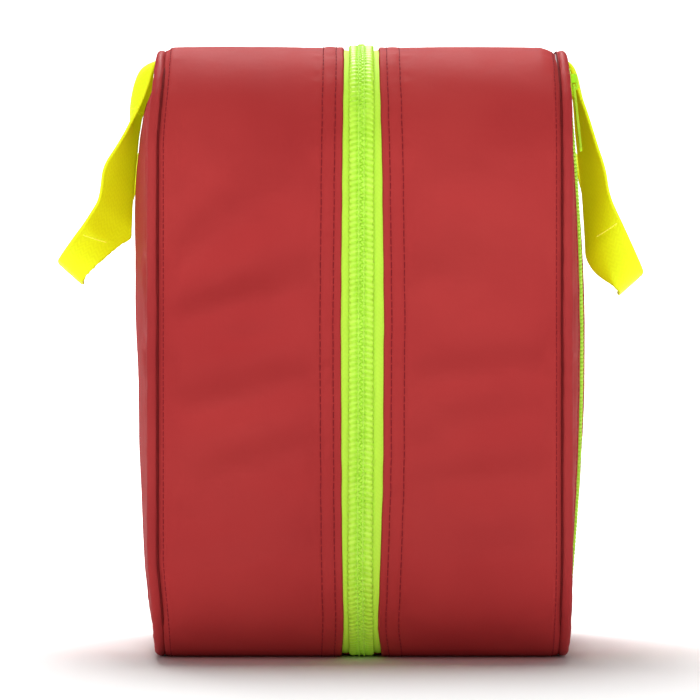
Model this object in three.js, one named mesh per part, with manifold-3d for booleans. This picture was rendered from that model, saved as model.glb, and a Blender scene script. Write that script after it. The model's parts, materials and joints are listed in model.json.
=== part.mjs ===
// Clamshell first aid kit bag, in millimetres. +Z up, width along X, rear face
// towards +Y, front (pocket) face towards -Y. The origin is the middle of the
// flat base, under the main zipper.
import * as THREE from "three";
import { mergeVertices } from "three/addons/utils/BufferGeometryUtils.js";
import Module from "manifold-3d";

const wasm = await Module();
wasm.setup();

// ---- driving dimensions -------------------------------------------------
const W = 240; // bag width, X
const H = 268; // bag height, Z
const R = 50; // corner radius of the outline
const GUSSET_IN = 8.6; // gusset edge beside the main zipper, |y|
const GUSSET_OUT = 85.5; // gusset edge at the piping, |y|
const WALL = 3; // padded wall thickness
const PIPE_R = 2.5; // piping radius
const PIPE_Y = 88.3; // piping centre, |y|
const RIM_Y = 88.8; // outer edge of a face panel, |y|
const FACE_IN = 84.9; // inner side of the rear face panel, |y|
const POCKET_DEEP = 2; // the front lining sits this much further in, for the pocket
const FACE_OFF = 5.3; // outline inset of a face panel
const ZIP_END_X = 60; // the main zipper stops here, under the base
const GAP = 0.3; // between pieces that touch
const WEB_W = 30; // handle webbing width
const WEB_T = 1.8; // handle webbing thickness
const HANDLE_X = 46; // middle of each sewn handle end
const PIVOT_Y = 93.2; // handle swing line, |y|
const PIVOT_Z = 262;
const POCKET_X = -80; // line of the pocket zipper
const ARC_R = 1100; // the pocket zipper follows this bulge
const ARC_Z = 136;
const ARC_Y = 95.9; // face surface at the top of that bulge, |y|
const SLIDER_Z = 252; // where the pocket slider parks

// ---- materials ----------------------------------------------------------
const mat = (color, roughness = 0.6, metalness = 0) =>
  new THREE.MeshStandardMaterial({ color, roughness, metalness });
const RED = mat(0xac3432, 0.45);
const RED_DARK = mat(0x9a2b2c, 0.5);
const LIME = mat(0xb4eb3c, 0.6);
const LIME_PULL = mat(0xaaf01e, 0.35);
const YELLOW = mat(0xe8ec10, 0.7);
const LINING = mat(0x55585c, 0.8);
const NET = mat(0x2c2e30, 0.8);
const BINDING = mat(0x8c2628, 0.7);
const WHITE = mat(0xf1efe8, 0.8);
const FOIL = mat(0xc9a64a, 0.3, 0.6);
const STEEL = mat(0xb9bcc0, 0.3, 0.9);
const BLUE = mat(0x3c6ea8, 0.6);

const root = new THREE.Group();
const put = (name, geometry, material) => {
  const mesh = new THREE.Mesh(geometry, material);
  mesh.name = name;
  root.add(mesh);
  return mesh;
};
const V = (x, y, z) => new THREE.Vector3(x, y, z);

// ---- solids -------------------------------------------------------------
function bare(g) {
  g = g.clone();
  for (const k of Object.keys(g.attributes))
    if (k !== "position") g.deleteAttribute(k);
  g.clearGroups();
  g = mergeVertices(g, 1e-4);
  const p = g.attributes.position,
    keep = [];
  const ix = g.index.array;
  let vol = 0;
  const a = V(),
    b = V(),
    c = V();
  for (let i = 0; i < ix.length; i += 3) {
    if (ix[i] === ix[i + 1] || ix[i + 1] === ix[i + 2] || ix[i] === ix[i + 2])
      continue;
    keep.push(ix[i], ix[i + 1], ix[i + 2]);
    a.fromBufferAttribute(p, ix[i]);
    b.fromBufferAttribute(p, ix[i + 1]);
    c.fromBufferAttribute(p, ix[i + 2]);
    vol += a.dot(b.cross(c));
  }
  if (vol < 0)
    for (let i = 0; i < keep.length; i += 3)
      [keep[i + 1], keep[i + 2]] = [keep[i + 2], keep[i + 1]];
  g.setIndex(keep);
  return g;
}
const solid = (g) => {
  g = bare(g);
  return new wasm.Manifold(
    new wasm.Mesh({
      numProp: 3,
      vertProperties: new Float32Array(g.attributes.position.array),
      triVerts: new Uint32Array(g.index.array),
    }),
  );
};
const geometryOf = (m) => {
  const mesh = m.getMesh(),
    g = new THREE.BufferGeometry(),
    n = mesh.numProp,
    v = mesh.vertProperties,
    out = new Float32Array((v.length / n) * 3);
  for (let i = 0; i < v.length / n; i++)
    for (let k = 0; k < 3; k++) out[3 * i + k] = v[n * i + k];
  g.setAttribute("position", new THREE.BufferAttribute(out, 3));
  g.setIndex(Array.from(mesh.triVerts));
  return g;
};
const join = (...gs) => geometryOf(gs.map(solid).reduce((a, b) => a.add(b)));
const cut = (g, ...tools) =>
  geometryOf(tools.map(solid).reduce((a, b) => a.subtract(b), solid(g)));

// Closed or open skin through a row of point loops of equal length.
function loft(rings, closed = false) {
  const M = rings[0].length,
    N = rings.length;
  let g, p;
  if (closed) {
    g = new THREE.TorusGeometry(4, 1, M, N);
    p = g.attributes.position;
    for (let j = 0; j <= M; j++)
      for (let i = 0; i <= N; i++) {
        const q = rings[i % N][j % M];
        p.setXYZ(j * (N + 1) + i, q.x, q.y, q.z);
      }
  } else {
    g = new THREE.CylinderGeometry(1, 1, 1, M, N - 1, false);
    p = g.attributes.position;
    const mid = rings.map((r) =>
      r.reduce((s, q) => s.add(q), V(0, 0, 0)).multiplyScalar(1 / M),
    );
    for (let v = 0; v < p.count; v++) {
      const x = p.getX(v),
        y = p.getY(v),
        z = p.getZ(v);
      const k = Math.round((0.5 - y) * (N - 1));
      let q = mid[k];
      if (Math.hypot(x, z) > 1e-3)
        q = rings[k][
          (((Math.round((Math.atan2(x, z) / (2 * Math.PI)) * M) % M) + M) % M)
        ];
      p.setXYZ(v, q.x, q.y, q.z);
    }
  }
  return bare(g);
}
// Skin between two poles through loops: rows[0] and the last row are points.
function pillow(first, rows, last) {
  const M = rows[0].length,
    N = rows.length + 1;
  const g = new THREE.SphereGeometry(1, M, N),
    p = g.attributes.position;
  for (let j = 0; j <= N; j++)
    for (let i = 0; i <= M; i++) {
      const q = j === 0 ? first : j === N ? last : rows[j - 1][i % M];
      p.setXYZ(j * (M + 1) + i, q.x, q.y, q.z);
    }
  return bare(g);
}
const block = (x0, x1, y0, y1, z0, z1) =>
  new THREE.BoxGeometry(x1 - x0, y1 - y0, z1 - z0).translate(
    (x0 + x1) / 2,
    (y0 + y1) / 2,
    (z0 + z1) / 2,
  );

// ---- the outline, a rounded rectangle in X-Z ----------------------------
const HX = W / 2 - R,
  HZ = H / 2 - R;
const ARC = (R * Math.PI) / 2;
const LENGTH = 4 * (HX + HZ) + 4 * ARC;
// Point of the outline at arc length s, starting at the bottom middle towards
// -X, moved inwards by off.
function outline(s, off = 0) {
  s = ((s % LENGTH) + LENGTH) % LENGTH;
  const legs = [
    [HX, (t) => [-t, 0, 0, -1]],
    [ARC, (t) => arcAt(-HX, R, -90 - (90 * t) / ARC)],
    [2 * HZ, (t) => [-W / 2, R + t, -1, 0]],
    [ARC, (t) => arcAt(-HX, H - R, 180 - (90 * t) / ARC)],
    [2 * HX, (t) => [-HX + t, H, 0, 1]],
    [ARC, (t) => arcAt(HX, H - R, 90 - (90 * t) / ARC)],
    [2 * HZ, (t) => [W / 2, H - R - t, 1, 0]],
    [ARC, (t) => arcAt(HX, R, (-90 * t) / ARC)],
    [HX + 1e-6, (t) => [HX - t, 0, 0, -1]],
  ];
  for (const [len, f] of legs) {
    if (s <= len) {
      const [x, z, nx, nz] = f(s);
      return { x: x - nx * off, z: z - nz * off, nx, nz };
    }
    s -= len;
  }
}
function arcAt(cx, cz, deg) {
  const a = (deg * Math.PI) / 180;
  return [
    cx + R * Math.cos(a),
    cz + R * Math.sin(a),
    Math.cos(a),
    Math.sin(a),
  ];
}
function stops(cornerSteps = 6, from = 0, to = LENGTH) {
  const marks = [0];
  let s = 0;
  const legs = [
    [HX, 1],
    [ARC, cornerSteps],
    [2 * HZ, 4],
    [ARC, cornerSteps],
    [2 * HX, 4],
    [ARC, cornerSteps],
    [2 * HZ, 4],
    [ARC, cornerSteps],
    [HX, 1],
  ];
  for (const [len, n] of legs) {
    for (let k = 1; k <= n; k++) marks.push(s + (len * k) / n);
    s += len;
  }
  marks.pop();
  if (from === 0 && to === LENGTH) return marks;
  return [from, ...marks.filter((m) => m > from + 2 && m < to - 2), to];
}
// A band along the outline with the section [[|y|, inset], ...].
const along = (marks, closed, section, side) =>
  loft(
    marks.map((s) =>
      (typeof section === "function" ? section(s) : section).map(([y, off]) => {
        const o = outline(s, off);
        return V(o.x, side * y, o.z);
      }),
    ),
    closed,
  );
const circle = (y, off, r, n) =>
  Array.from({ length: n }, (_, k) => {
    const a = (2 * Math.PI * (k + 0.5)) / n;
    return [y + r * Math.cos(a), off + r * Math.sin(a)];
  });

// ---- the crown of each face ---------------------------------------------
const lerpTable = (t, x) => {
  if (x <= t[0][0]) return t[0][1];
  for (let i = 1; i < t.length; i++)
    if (x <= t[i][0]) {
      const u = (x - t[i - 1][0]) / (t[i][0] - t[i - 1][0]),
        s = u * u * (3 - 2 * u) * 0.35 + u * 0.65;
      return t[i - 1][1] + (t[i][1] - t[i - 1][1]) * s;
    }
  return t[t.length - 1][1];
};
const REAR_CROWN = [
  [5.3, 0],
  [20, 4.6],
  [38, 8],
  [75, 10.8],
  [112, 13],
  [157, 13.6],
  [200, 13.6],
  [230, 11.4],
  [250, 6],
  [262.7, 0],
];
const FACE_HALF = W / 2 - FACE_OFF;
const across = (x) => 1 - Math.pow(Math.min(1, Math.abs(x) / FACE_HALF), 2.5);
const rearFace = (x, z) => RIM_Y + lerpTable(REAR_CROWN, z) * across(x);
const pocketArc = (z) =>
  ARC_Y - ARC_R + Math.sqrt(ARC_R * ARC_R - (z - ARC_Z) * (z - ARC_Z));
const frontFace = (x, z) =>
  RIM_Y +
  (Math.max(0, pocketArc(z) - RIM_Y) * across(x)) / across(POCKET_X);
const frontBack = (x, z) =>
  84.5 +
  4.3 * Math.max(0, 1 - Math.pow(Math.abs(x) / 68, 3)) * Math.sin((Math.PI * z) / H);

// A padded or plain sheet that fills the outline inset by off.
function sheet(off, outer, inner, side, steps, share = [0.28, 0.52, 0.72, 0.88, 1]) {
  const marks = stops(steps);
  const mid = H / 2;
  const ring = (k, f) =>
    marks.map((s) => {
      const o = outline(s, off),
        x = o.x * k,
        z = mid + (o.z - mid) * k;
      return V(x, side * f(x, z), z);
    });
  const flat = typeof inner === "number";
  const rows = share.map((k) => ring(k, outer));
  if (flat) rows.push(ring(1, () => inner));
  else rows.push(...[...share].reverse().map((k) => ring(k, inner)));
  return pillow(
    V(0, side * outer(0, mid), mid),
    rows,
    V(0, side * (flat ? inner : inner(0, mid)), mid),
  );
}

// ---- one half of the shell ----------------------------------------------
const ZIP_FROM = ZIP_END_X,
  ZIP_TO = LENGTH - ZIP_END_X;
// The chain stands proud of the sides and top and runs level with the base.
const proud = (s) => {
  const o = outline(s);
  return Math.max(0, Math.min(1, (o.z - 2) / 40));
};
function shell(side, name, deep) {
  const gusset = [
    [GUSSET_IN, 0],
    [GUSSET_OUT, 0],
    [GUSSET_OUT, WALL],
    [20, WALL],
    [16, 1.2],
    [GUSSET_IN, 1.2],
  ];
  put(`${name}_gusset`, along(stops(6), true, gusset, side), RED);
  put(
    `${name}_piping`,
    along(stops(6), true, circle(PIPE_Y, PIPE_R, PIPE_R, 8), side),
    RED_DARK,
  );
  put(
    `${name}_seam_binding`,
    along(
      stops(6),
      true,
      [
        [82.6 - deep, WALL + GAP],
        [84.6 - deep, WALL + GAP],
        [84.6 - deep, 9],
        [82.6 - deep, 9],
      ],
      side,
    ),
    BINDING,
  );
  put(
    `${name}_zip_tape`,
    along(
      stops(6, ZIP_FROM, ZIP_TO),
      false,
      [
        [0.6, 1.5],
        [15.5, 1.5],
        [15.5, 2.3],
        [0.6, 2.3],
      ],
      side,
    ),
    LIME,
  );
  put(
    `${name}_zip_coil`,
    along(
      stops(6, ZIP_FROM, ZIP_TO),
      false,
      (s) => {
        const up = 0.15 - 1.15 * proud(s);
        return [
          [0.6, up + 0.3],
          [1.4, up],
          [4.4, up],
          [5.2, up + 0.5],
          [5.2, 1.2],
          [0.6, 1.2],
        ];
      },
      side,
    ),
    LIME,
  );
  put(
    `${name}_lining_panel`,
    sheet(9.4, () => 83.9 - deep, 82.7 - deep, side, 6, [1]),
    LINING,
  );
  for (const [x, tag] of [
    [-HANDLE_X, "left"],
    [HANDLE_X, "right"],
  ])
    put(
      `${name}_handle_tab_${tag}`,
      loft(
        [0, 0.5, 1].map((t) => {
          const y = 89.4 + (PIVOT_Y - 1.9 - 89.4) * t,
            z = 262.15 - 0.6 * t * t;
          return [
            V(x - WEB_W / 2, side * y, z + WEB_T / 2),
            V(x + WEB_W / 2, side * y, z + WEB_T / 2),
            V(x + WEB_W / 2, side * y, z - WEB_T / 2),
            V(x - WEB_W / 2, side * y, z - WEB_T / 2),
          ];
        }),
      ),
      YELLOW,
    );
}

shell(1, "rear", 0);
put("rear_face_panel", sheet(FACE_OFF, rearFace, FACE_IN, 1, 6), RED);
put(
  "hinge_strip",
  block(-ZIP_END_X + 1, ZIP_END_X - 1, -8.2, 8.2, 0, 1),
  RED_DARK,
);

shell(-1, "front", POCKET_DEEP);
put(
  "front_face_panel",
  sheet(FACE_OFF, frontBack, FACE_IN - POCKET_DEEP, -1, 6, [0.2, 0.4, 0.6, 1]),
  LINING,
);

// ---- the front pocket ---------------------------------------------------
const SLOT = 3.4; // the zipper shows this far each side of its middle
const skin = sheet(FACE_OFF, frontFace, (x, z) => frontFace(x, z) - 1.3, -1, 6, [
  0.22, 0.42, 0.6, 0.76, 0.89, 1,
]);
put(
  "front_pocket_panel",
  cut(skin, block(-200, POCKET_X + SLOT, -130, -60, -10, 300)),
  RED,
);
put(
  "front_pocket_edge",
  cut(skin, block(POCKET_X - SLOT, 200, -130, -60, -10, 300)),
  RED,
);
const POCKET_ZS = Array.from({ length: 13 }, (_, k) => 22 + (257.5 - 22) * (k / 12));
// flat where the slider runs, on the face's own crown further out
const pocketBand = (section) =>
  loft(
    POCKET_ZS.map((z) =>
      section.map(([u, h]) =>
        V(
          POCKET_X + u,
          -((Math.abs(u) < 4 ? pocketArc(z) : frontFace(POCKET_X + u, z)) + h),
          z,
        ),
      ),
    ),
  );
for (const [sign, tag] of [
  [1, "inner"],
  [-1, "outer"],
]) {
  put(
    `pocket_zip_tape_${tag}`,
    pocketBand([
      [sign * 0.6, -2.2],
      [sign * 3.4, -2.2],
      [sign * 8.5, -2.2],
      [sign * 8.5, -2.7],
      [sign * 3.4, -2.7],
      [sign * 0.6, -2.7],
    ]),
    LIME,
  );
  put(
    `pocket_zip_coil_${tag}`,
    pocketBand([
      [sign * 0.6, 0.7],
      [sign * 1.1, 1.1],
      [sign * 2.4, 1.1],
      [sign * 2.9, 0.6],
      [sign * 2.9, -1.9],
      [sign * 0.6, -1.9],
    ]),
    LIME,
  );
}

// ---- zipper sliders, in their own frame: u travel, v across, w outwards --
function slider(c) {
  const plate = (w0, w1, wide = c.width) => {
    const s = new THREE.Shape();
    const a = c.length / 2,
      b = wide / 2,
      k = wide * 0.28;
    s.moveTo(-a, -b + k);
    s.lineTo(-a + k, -b);
    s.lineTo(a - k * 1.4, -b);
    s.lineTo(a, -b + k * 1.3);
    s.lineTo(a, b - k * 1.3);
    s.lineTo(a - k * 1.4, b);
    s.lineTo(-a + k, b);
    s.lineTo(-a, b - k);
    s.closePath();
    return new THREE.ExtrudeGeometry(s, {
      depth: w1 - w0,
      bevelEnabled: false,
    }).translate(0, 0, w0);
  };
  const lift = 0.05;
  const neck = new THREE.BoxGeometry(c.neck, 0.5, c.top - c.under + 2 * lift)
    .translate(-c.length / 2 + c.neck / 2 + 0.8, 0, (c.top + c.under) / 2);
  // the bail: an arch over the pull's bar
  const bl = c.bail,
    bh = c.bailHeight,
    t = c.bailThick;
  const arch = new THREE.Shape();
  arch.moveTo(-bl / 2, 0);
  arch.lineTo(bl / 2, 0);
  arch.lineTo(bl / 2, bh - t);
  arch.lineTo(bl / 2 - t * 0.8, bh);
  arch.lineTo(-bl / 2 + t * 0.8, bh);
  arch.lineTo(-bl / 2, bh - t);
  arch.closePath();
  const hole = new THREE.Path();
  hole.moveTo(-bl / 2 + t, 0.2);
  hole.lineTo(-bl / 2 + t, bh - t);
  hole.lineTo(bl / 2 - t, bh - t);
  hole.lineTo(bl / 2 - t, 0.2);
  hole.closePath();
  arch.holes.push(hole);
  const bail = new THREE.ExtrudeGeometry(arch, {
    depth: c.bailWide,
    bevelEnabled: false,
  })
    .rotateX(Math.PI / 2)
    .translate(0, c.bailWide / 2, c.top + c.plate - lift);
  const body = join(
    plate(c.top, c.top + c.plate),
    plate(c.under - c.plate, c.under, c.underWidth),
    neck,
    bail,
  );
  // the pull: its bar lies in the bail, its plate runs along +u
  const u0 = bl / 2 - t - c.bar / 2 - 0.45;
  const w0 = c.top + c.plate + c.bar / 2 + c.rise;
  const p = new THREE.Shape();
  const hw = c.pullWide / 2,
    e = c.bar / 2;
  p.moveTo(-e, -hw);
  p.lineTo(c.pull * 0.35, -hw);
  p.lineTo(c.pull - hw * 0.5, -hw * 1.1);
  p.lineTo(c.pull, -hw * 0.5);
  p.lineTo(c.pull, hw * 0.5);
  p.lineTo(c.pull - hw * 0.5, hw * 1.1);
  p.lineTo(c.pull * 0.35, hw);
  p.lineTo(-e, hw);
  p.closePath();
  const eye = new THREE.Path();
  const ew = c.bailWide / 2 + 0.35;
  eye.moveTo(e, -ew);
  eye.lineTo(e, ew);
  eye.lineTo(c.eye, ew);
  eye.lineTo(c.eye, -ew);
  eye.closePath();
  p.holes.push(eye);
  const pull = new THREE.ExtrudeGeometry(p, {
    depth: c.bar,
    bevelEnabled: false,
  })
    .translate(0, 0, -c.bar / 2)
    .rotateY((c.tilt * Math.PI) / 180) // its free end leans on the chain
    .translate(u0, 0, w0);
  return { body, pull, hinge: V(u0, 0, w0) };
}
const MAIN = {
  length: 20, width: 12.6, underWidth: 12.6, top: 1.35, under: -2.7, plate: 1.2, neck: 6,
  bail: 11, bailHeight: 3.2, bailThick: 1.0, bailWide: 2.4,
  bar: 1.1, rise: 0.55, tilt: 3, pull: 30, pullWide: 8, eye: 9,
};
const SMALL = {
  length: 12, width: 8.6, underWidth: 6.4, top: 1.4, under: -3.0, plate: 0.8, neck: 4,
  bail: 7, bailHeight: 2.9, bailThick: 0.9, bailWide: 1.8,
  bar: 1.0, rise: 0.45, tilt: 0, pull: 29, pullWide: 5.2, eye: 6,
};
function place(piece, at, u, w) {
  const v = new THREE.Vector3().crossVectors(w, u);
  const m = new THREE.Matrix4().makeBasis(u, v, w).setPosition(at);
  return {
    body: piece.body.clone().applyMatrix4(m),
    pull: piece.pull.clone().applyMatrix4(m),
    hinge: piece.hinge.clone().applyMatrix4(m),
  };
}
const SLIDER_X = 11.5; // half the distance between the two sliders
const MEET_X = 10; // where the two sliders meet when the bag is shut
for (const [sign, tag] of [
  [-1, "left"],
  [1, "right"],
]) {
  const s = place(
    slider(MAIN),
    V(MEET_X + sign * SLIDER_X, 0, H),
    V(sign, 0, 0),
    V(0, 0, 1),
  );
  put(`main_slider_${tag}`, s.body, LIME_PULL);
  put(`main_slider_${tag}_pull`, s.pull, LIME_PULL);
}
{
  const a = Math.asin((SLIDER_Z - ARC_Z) / ARC_R);
  const s = place(
    slider(SMALL),
    V(POCKET_X, -pocketArc(SLIDER_Z), SLIDER_Z),
    V(0, -Math.sin(a), -Math.cos(a)),
    V(0, -Math.cos(a), Math.sin(a)),
  );
  put("pocket_slider", s.body, LIME_PULL);
  put("pocket_slider_pull", s.pull, LIME_PULL);
}

// ---- webbing handles ----------------------------------------------------
// Each leg is given by the (|y|, z) of its two edges; the width along X fills
// up what is left of the webbing's width. The last row is the folded grip.
const REAR_LEG = [
  [-46, 93.2, 262.0, 93.2, 262.0, 30],
  [-46, 97.2, 258.2, 96.6, 258.2, 30],
  [-46, 101.0, 251.0, 99.2, 251.5, 30],
  [-45.4, 103.4, 240.5, 100.8, 242.0, 30],
  [-44.6, 107.6, 228.2, 103.0, 231.0, 30],
  [-43, 115.0, 211.8, 104.4, 217.0, 30],
  [-41, 118.6, 200.0, 105.0, 203.0, 30],
  [-38, 124.6, 190.6, 106.6, 188.0, 29],
  [-34, 130.5, 183.0, 114.0, 175.0, 20],
  [-28.5, 136.6, 176.6, 126.0, 166.6, 15.2],
];
const FRONT_LEG = [
  [-46, 93.2, 262.0, 93.2, 262.0, 30],
  [-46, 94.9, 258.0, 94.3, 258.0, 30],
  [-46, 97.2, 250.0, 95.6, 250.5, 30],
  [-45.4, 99.4, 242.0, 96.6, 243.0, 30],
  [-44.6, 103.4, 228.5, 97.6, 230.5, 30],
  [-43, 108.2, 215.5, 98.6, 219.0, 30],
  [-41, 112.6, 201.0, 99.6, 203.5, 30],
  [-38, 117.0, 189.0, 101.2, 187.0, 29],
  [-34, 122.0, 180.0, 107.6, 171.0, 20],
  [-28.5, 127.6, 171.8, 117.2, 161.4, 15.2],
];
function handle(side, legs) {
  const rows = [];
  const leg = legs.map(([x, y1, z1, y2, z2, w]) => {
    const d = Math.hypot(y1 - y2, z1 - z2),
      hx = Math.sqrt(Math.max(0, w * w - d * d)) / 2;
    return {
      c: V(x, (y1 + y2) / 2, (z1 + z2) / 2),
      w: V(hx, (y1 - y2) / 2, (z1 - z2) / 2),
      t: w < 18 ? 2.1 * WEB_T : w < 25 ? 1.6 * WEB_T : WEB_T,
    };
  });
  const grip = leg[leg.length - 1];
  for (const s of leg) rows.push(s);
  for (const x of [-22, -8, 8, 22])
    rows.push({ c: V(x, grip.c.y, grip.c.z), w: grip.w.clone(), t: grip.t });
  for (const s of [...leg].reverse())
    rows.push({ c: V(-s.c.x, s.c.y, s.c.z), w: V(-s.w.x, s.w.y, s.w.z), t: s.t });
  const rings = rows.map((s, k) => {
    const a = rows[Math.max(0, k - 1)].c,
      b = rows[Math.min(rows.length - 1, k + 1)].c;
    const tan = b.clone().sub(a).normalize();
    if (k === 0 || k === rows.length - 1) tan.set(0, k ? -0.72 : 0.72, k ? 0.69 : -0.69);
    const n = tan.clone().cross(s.w).normalize().multiplyScalar(s.t / 2);
    return [
      s.c.clone().add(s.w).add(n),
      s.c.clone().sub(s.w).add(n),
      s.c.clone().sub(s.w).sub(n),
      s.c.clone().add(s.w).sub(n),
    ].map((q) => V(q.x, side * q.y, q.z));
  });
  return loft(rings);
}
put("rear_handle", handle(1, REAR_LEG), YELLOW);
put("front_handle", handle(-1, FRONT_LEG), YELLOW);

// ---- inside the rear half -----------------------------------------------
put("rear_divider_shelf", block(-113, 113, 24, 82.2, 128, 131), LINING);
put("rear_divider_upright", block(-1.5, 1.5, 24, 82.2, 10, 127.5), LINING);
const roll = (x, y, z, r, len) =>
  new THREE.CylinderGeometry(r, r, len, 20)
    .rotateZ(Math.PI / 2)
    .translate(x, y, z);
put("bandage_roll_lower", roll(-50, 54, 38.5, 24, 88), WHITE);
put("bandage_roll_upper", roll(-50, 54, 88, 24, 88), WHITE);
function pack(cx, y0, y1, cz, w, h) {
  const m = (y0 + y1) / 2,
    rows = [];
  for (const [k, y] of [
    [0.86, y0],
    [1, m - 0.3],
    [1, m + 0.3],
    [0.86, y1],
  ])
    rows.push(
      [
        [-1, -1],
        [0, -1.0],
        [1, -1],
        [1, 0],
        [1, 1],
        [0, 1],
        [-1, 1],
        [-1, 0],
      ].map(([a, b]) => V(cx + (a * w * k) / 2, y, cz + (b * h * k) / 2)),
    );
  return loft(rows);
}
put("dressing_pack_rear", pack(52, 62, 80, 66, 94, 98), WHITE);
put("dressing_pack_middle", pack(52, 45, 60, 64, 90, 88), WHITE);
put("foil_blanket_pack", pack(-60, 52, 78, 172, 92, 68), FOIL);

// ---- inside the front half ----------------------------------------------
const NET_X = 96,
  NET_Z0 = 16,
  NET_Z1 = 128,
  NET_Y = 55,
  BACK = 80.4;
const pouch = cut(
  block(-NET_X, NET_X, -BACK, -NET_Y, NET_Z0, NET_Z1),
  block(-NET_X + 1.2, NET_X - 1.2, -90, -NET_Y - 1.2, NET_Z0 + 1.2, NET_Z1 + 9),
);
put("front_net_pocket", pouch, NET);
put(
  "front_net_binding",
  cut(
    block(-NET_X, NET_X, -BACK, -NET_Y + 1, NET_Z1 + GAP, NET_Z1 + 12),
    block(-NET_X + 2, NET_X - 2, -90, -NET_Y - 1.6, NET_Z1 - 5, NET_Z1 + 30),
  ),
  BINDING,
);
put("triangular_bandage_pack", pack(-44, -79.4, -64.5, 72, 84, 96), WHITE);
put("glove_pack", pack(46, -79.4, -67, 68, 84, 92), BLUE);

// elastic loops: a strip sewn to the lining between the tools it holds
const LOOP_Z0 = 186,
  LOOP_Z1 = 208;
{
  const s = new THREE.Shape();
  const top = [
    [-92, 1.2], [-70, 1.2], [-68, 6], [-62, 8.6], [-42, 8.6], [-36, 6], [-34, 1.2],
    [-14, 1.2], [-12, 5], [-8, 7.4], [4, 7.4], [8, 5], [10, 1.2],
    [26, 1.2], [28, 17], [34, 21.4], [76, 21.4], [82, 17], [84, 1.2], [92, 1.2],
  ];
  const low = [
    [92, 0], [82.6, 0], [80.8, 16.4], [75.4, 20.2], [34.6, 20.2], [29.2, 16.4], [27.4, 0],
    [8.8, 0], [6.9, 4.3], [3.4, 6.2], [-7.4, 6.2], [-10.9, 4.3], [-12.8, 0],
    [-35.2, 0], [-37, 5.3], [-42.6, 7.4], [-61.4, 7.4], [-67, 5.3], [-68.8, 0], [-92, 0],
  ];
  const pts = [...top, ...low];
  s.moveTo(pts[0][0], pts[0][1]);
  for (const [x, y] of pts.slice(1)) s.lineTo(x, y);
  s.closePath();
  put(
    "elastic_loops",
    new THREE.ExtrudeGeometry(s, { depth: LOOP_Z1 - LOOP_Z0, bevelEnabled: false })
      .translate(0, -BACK, LOOP_Z0),
    LINING,
  );
}
// shears: two finger rings, a pivot and blades, lying flat behind a loop
{
  const bow = (x, z, rx, rz) => {
    const a = new THREE.Shape().absellipse(x, z, rx, rz, 0, Math.PI * 2);
    a.holes.push(new THREE.Path().absellipse(x, z, rx - 4, rz - 4, 0, Math.PI * 2, true));
    return new THREE.ExtrudeGeometry(a, { depth: 4, bevelEnabled: false, curveSegments: 10 });
  };
  const blade = new THREE.Shape();
  for (const [i, [x, z]] of [
    [-6, 38], [6, 38], [9, 10], [7, -6], [5, -46], [2, -58], [-2, -60], [-5, -50], [-8, -6], [-9, 10],
  ].entries())
    i ? blade.lineTo(x, z) : blade.moveTo(x, z);
  blade.closePath();
  const g = join(
    bow(-11.5, 46, 12, 16),
    bow(11.5, 46, 12, 16),
    new THREE.ExtrudeGeometry(blade, { depth: 3.4, bevelEnabled: false }).translate(0, 0, 0.3),
  );
  g.rotateX(Math.PI / 2); // plan (x, z) upright, thickness along -y
  put("shears", g.translate(-52, -BACK + 5, 190), STEEL);
}
{
  const t = new THREE.Shape();
  for (const [i, [x, z]] of [
    [-4, 46], [4, 46], [4.4, 10], [2, -34], [-2, -34], [-4.4, 10],
  ].entries())
    i ? t.lineTo(x, z) : t.moveTo(x, z);
  t.closePath();
  put(
    "tweezers",
    new THREE.ExtrudeGeometry(t, { depth: 3.2, bevelEnabled: false })
      .rotateX(Math.PI / 2)
      .translate(-2, -BACK + 4.6, 196),
    STEEL,
  );
}
{
  const ring = new THREE.Shape().absarc(0, 0, 24, 0, Math.PI * 2);
  ring.holes.push(new THREE.Path().absarc(0, 0, 13, 0, Math.PI * 2, true));
  put(
    "tape_roll",
    new THREE.ExtrudeGeometry(ring, { depth: 16, bevelEnabled: false, curveSegments: 11 })
      .rotateX(Math.PI / 2)
      .translate(55, -BACK + 17.4, 197),
    WHITE,
  );
}

export default root;
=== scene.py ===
import bpy
import json
import math
import numpy as np
from mathutils import Vector, Matrix

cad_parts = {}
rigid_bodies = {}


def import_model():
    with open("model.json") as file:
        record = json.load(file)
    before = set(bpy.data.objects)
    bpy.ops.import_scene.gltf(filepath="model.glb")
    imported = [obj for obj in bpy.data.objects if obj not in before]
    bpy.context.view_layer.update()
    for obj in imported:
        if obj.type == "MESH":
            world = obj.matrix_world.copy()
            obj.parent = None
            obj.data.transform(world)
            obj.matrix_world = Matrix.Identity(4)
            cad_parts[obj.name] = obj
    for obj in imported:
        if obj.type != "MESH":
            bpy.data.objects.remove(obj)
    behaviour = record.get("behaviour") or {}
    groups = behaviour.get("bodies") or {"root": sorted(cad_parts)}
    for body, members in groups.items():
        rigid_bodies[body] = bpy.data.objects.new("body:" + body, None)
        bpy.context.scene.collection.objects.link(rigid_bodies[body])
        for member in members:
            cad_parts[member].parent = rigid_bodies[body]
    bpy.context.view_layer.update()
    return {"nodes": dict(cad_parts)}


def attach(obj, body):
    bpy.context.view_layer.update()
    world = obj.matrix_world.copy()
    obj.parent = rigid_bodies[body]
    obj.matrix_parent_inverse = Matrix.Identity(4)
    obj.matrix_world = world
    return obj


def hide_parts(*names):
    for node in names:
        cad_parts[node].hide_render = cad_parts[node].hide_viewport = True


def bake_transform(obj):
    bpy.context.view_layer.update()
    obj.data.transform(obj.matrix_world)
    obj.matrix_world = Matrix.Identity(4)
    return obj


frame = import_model()
MM = 0.001

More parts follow.
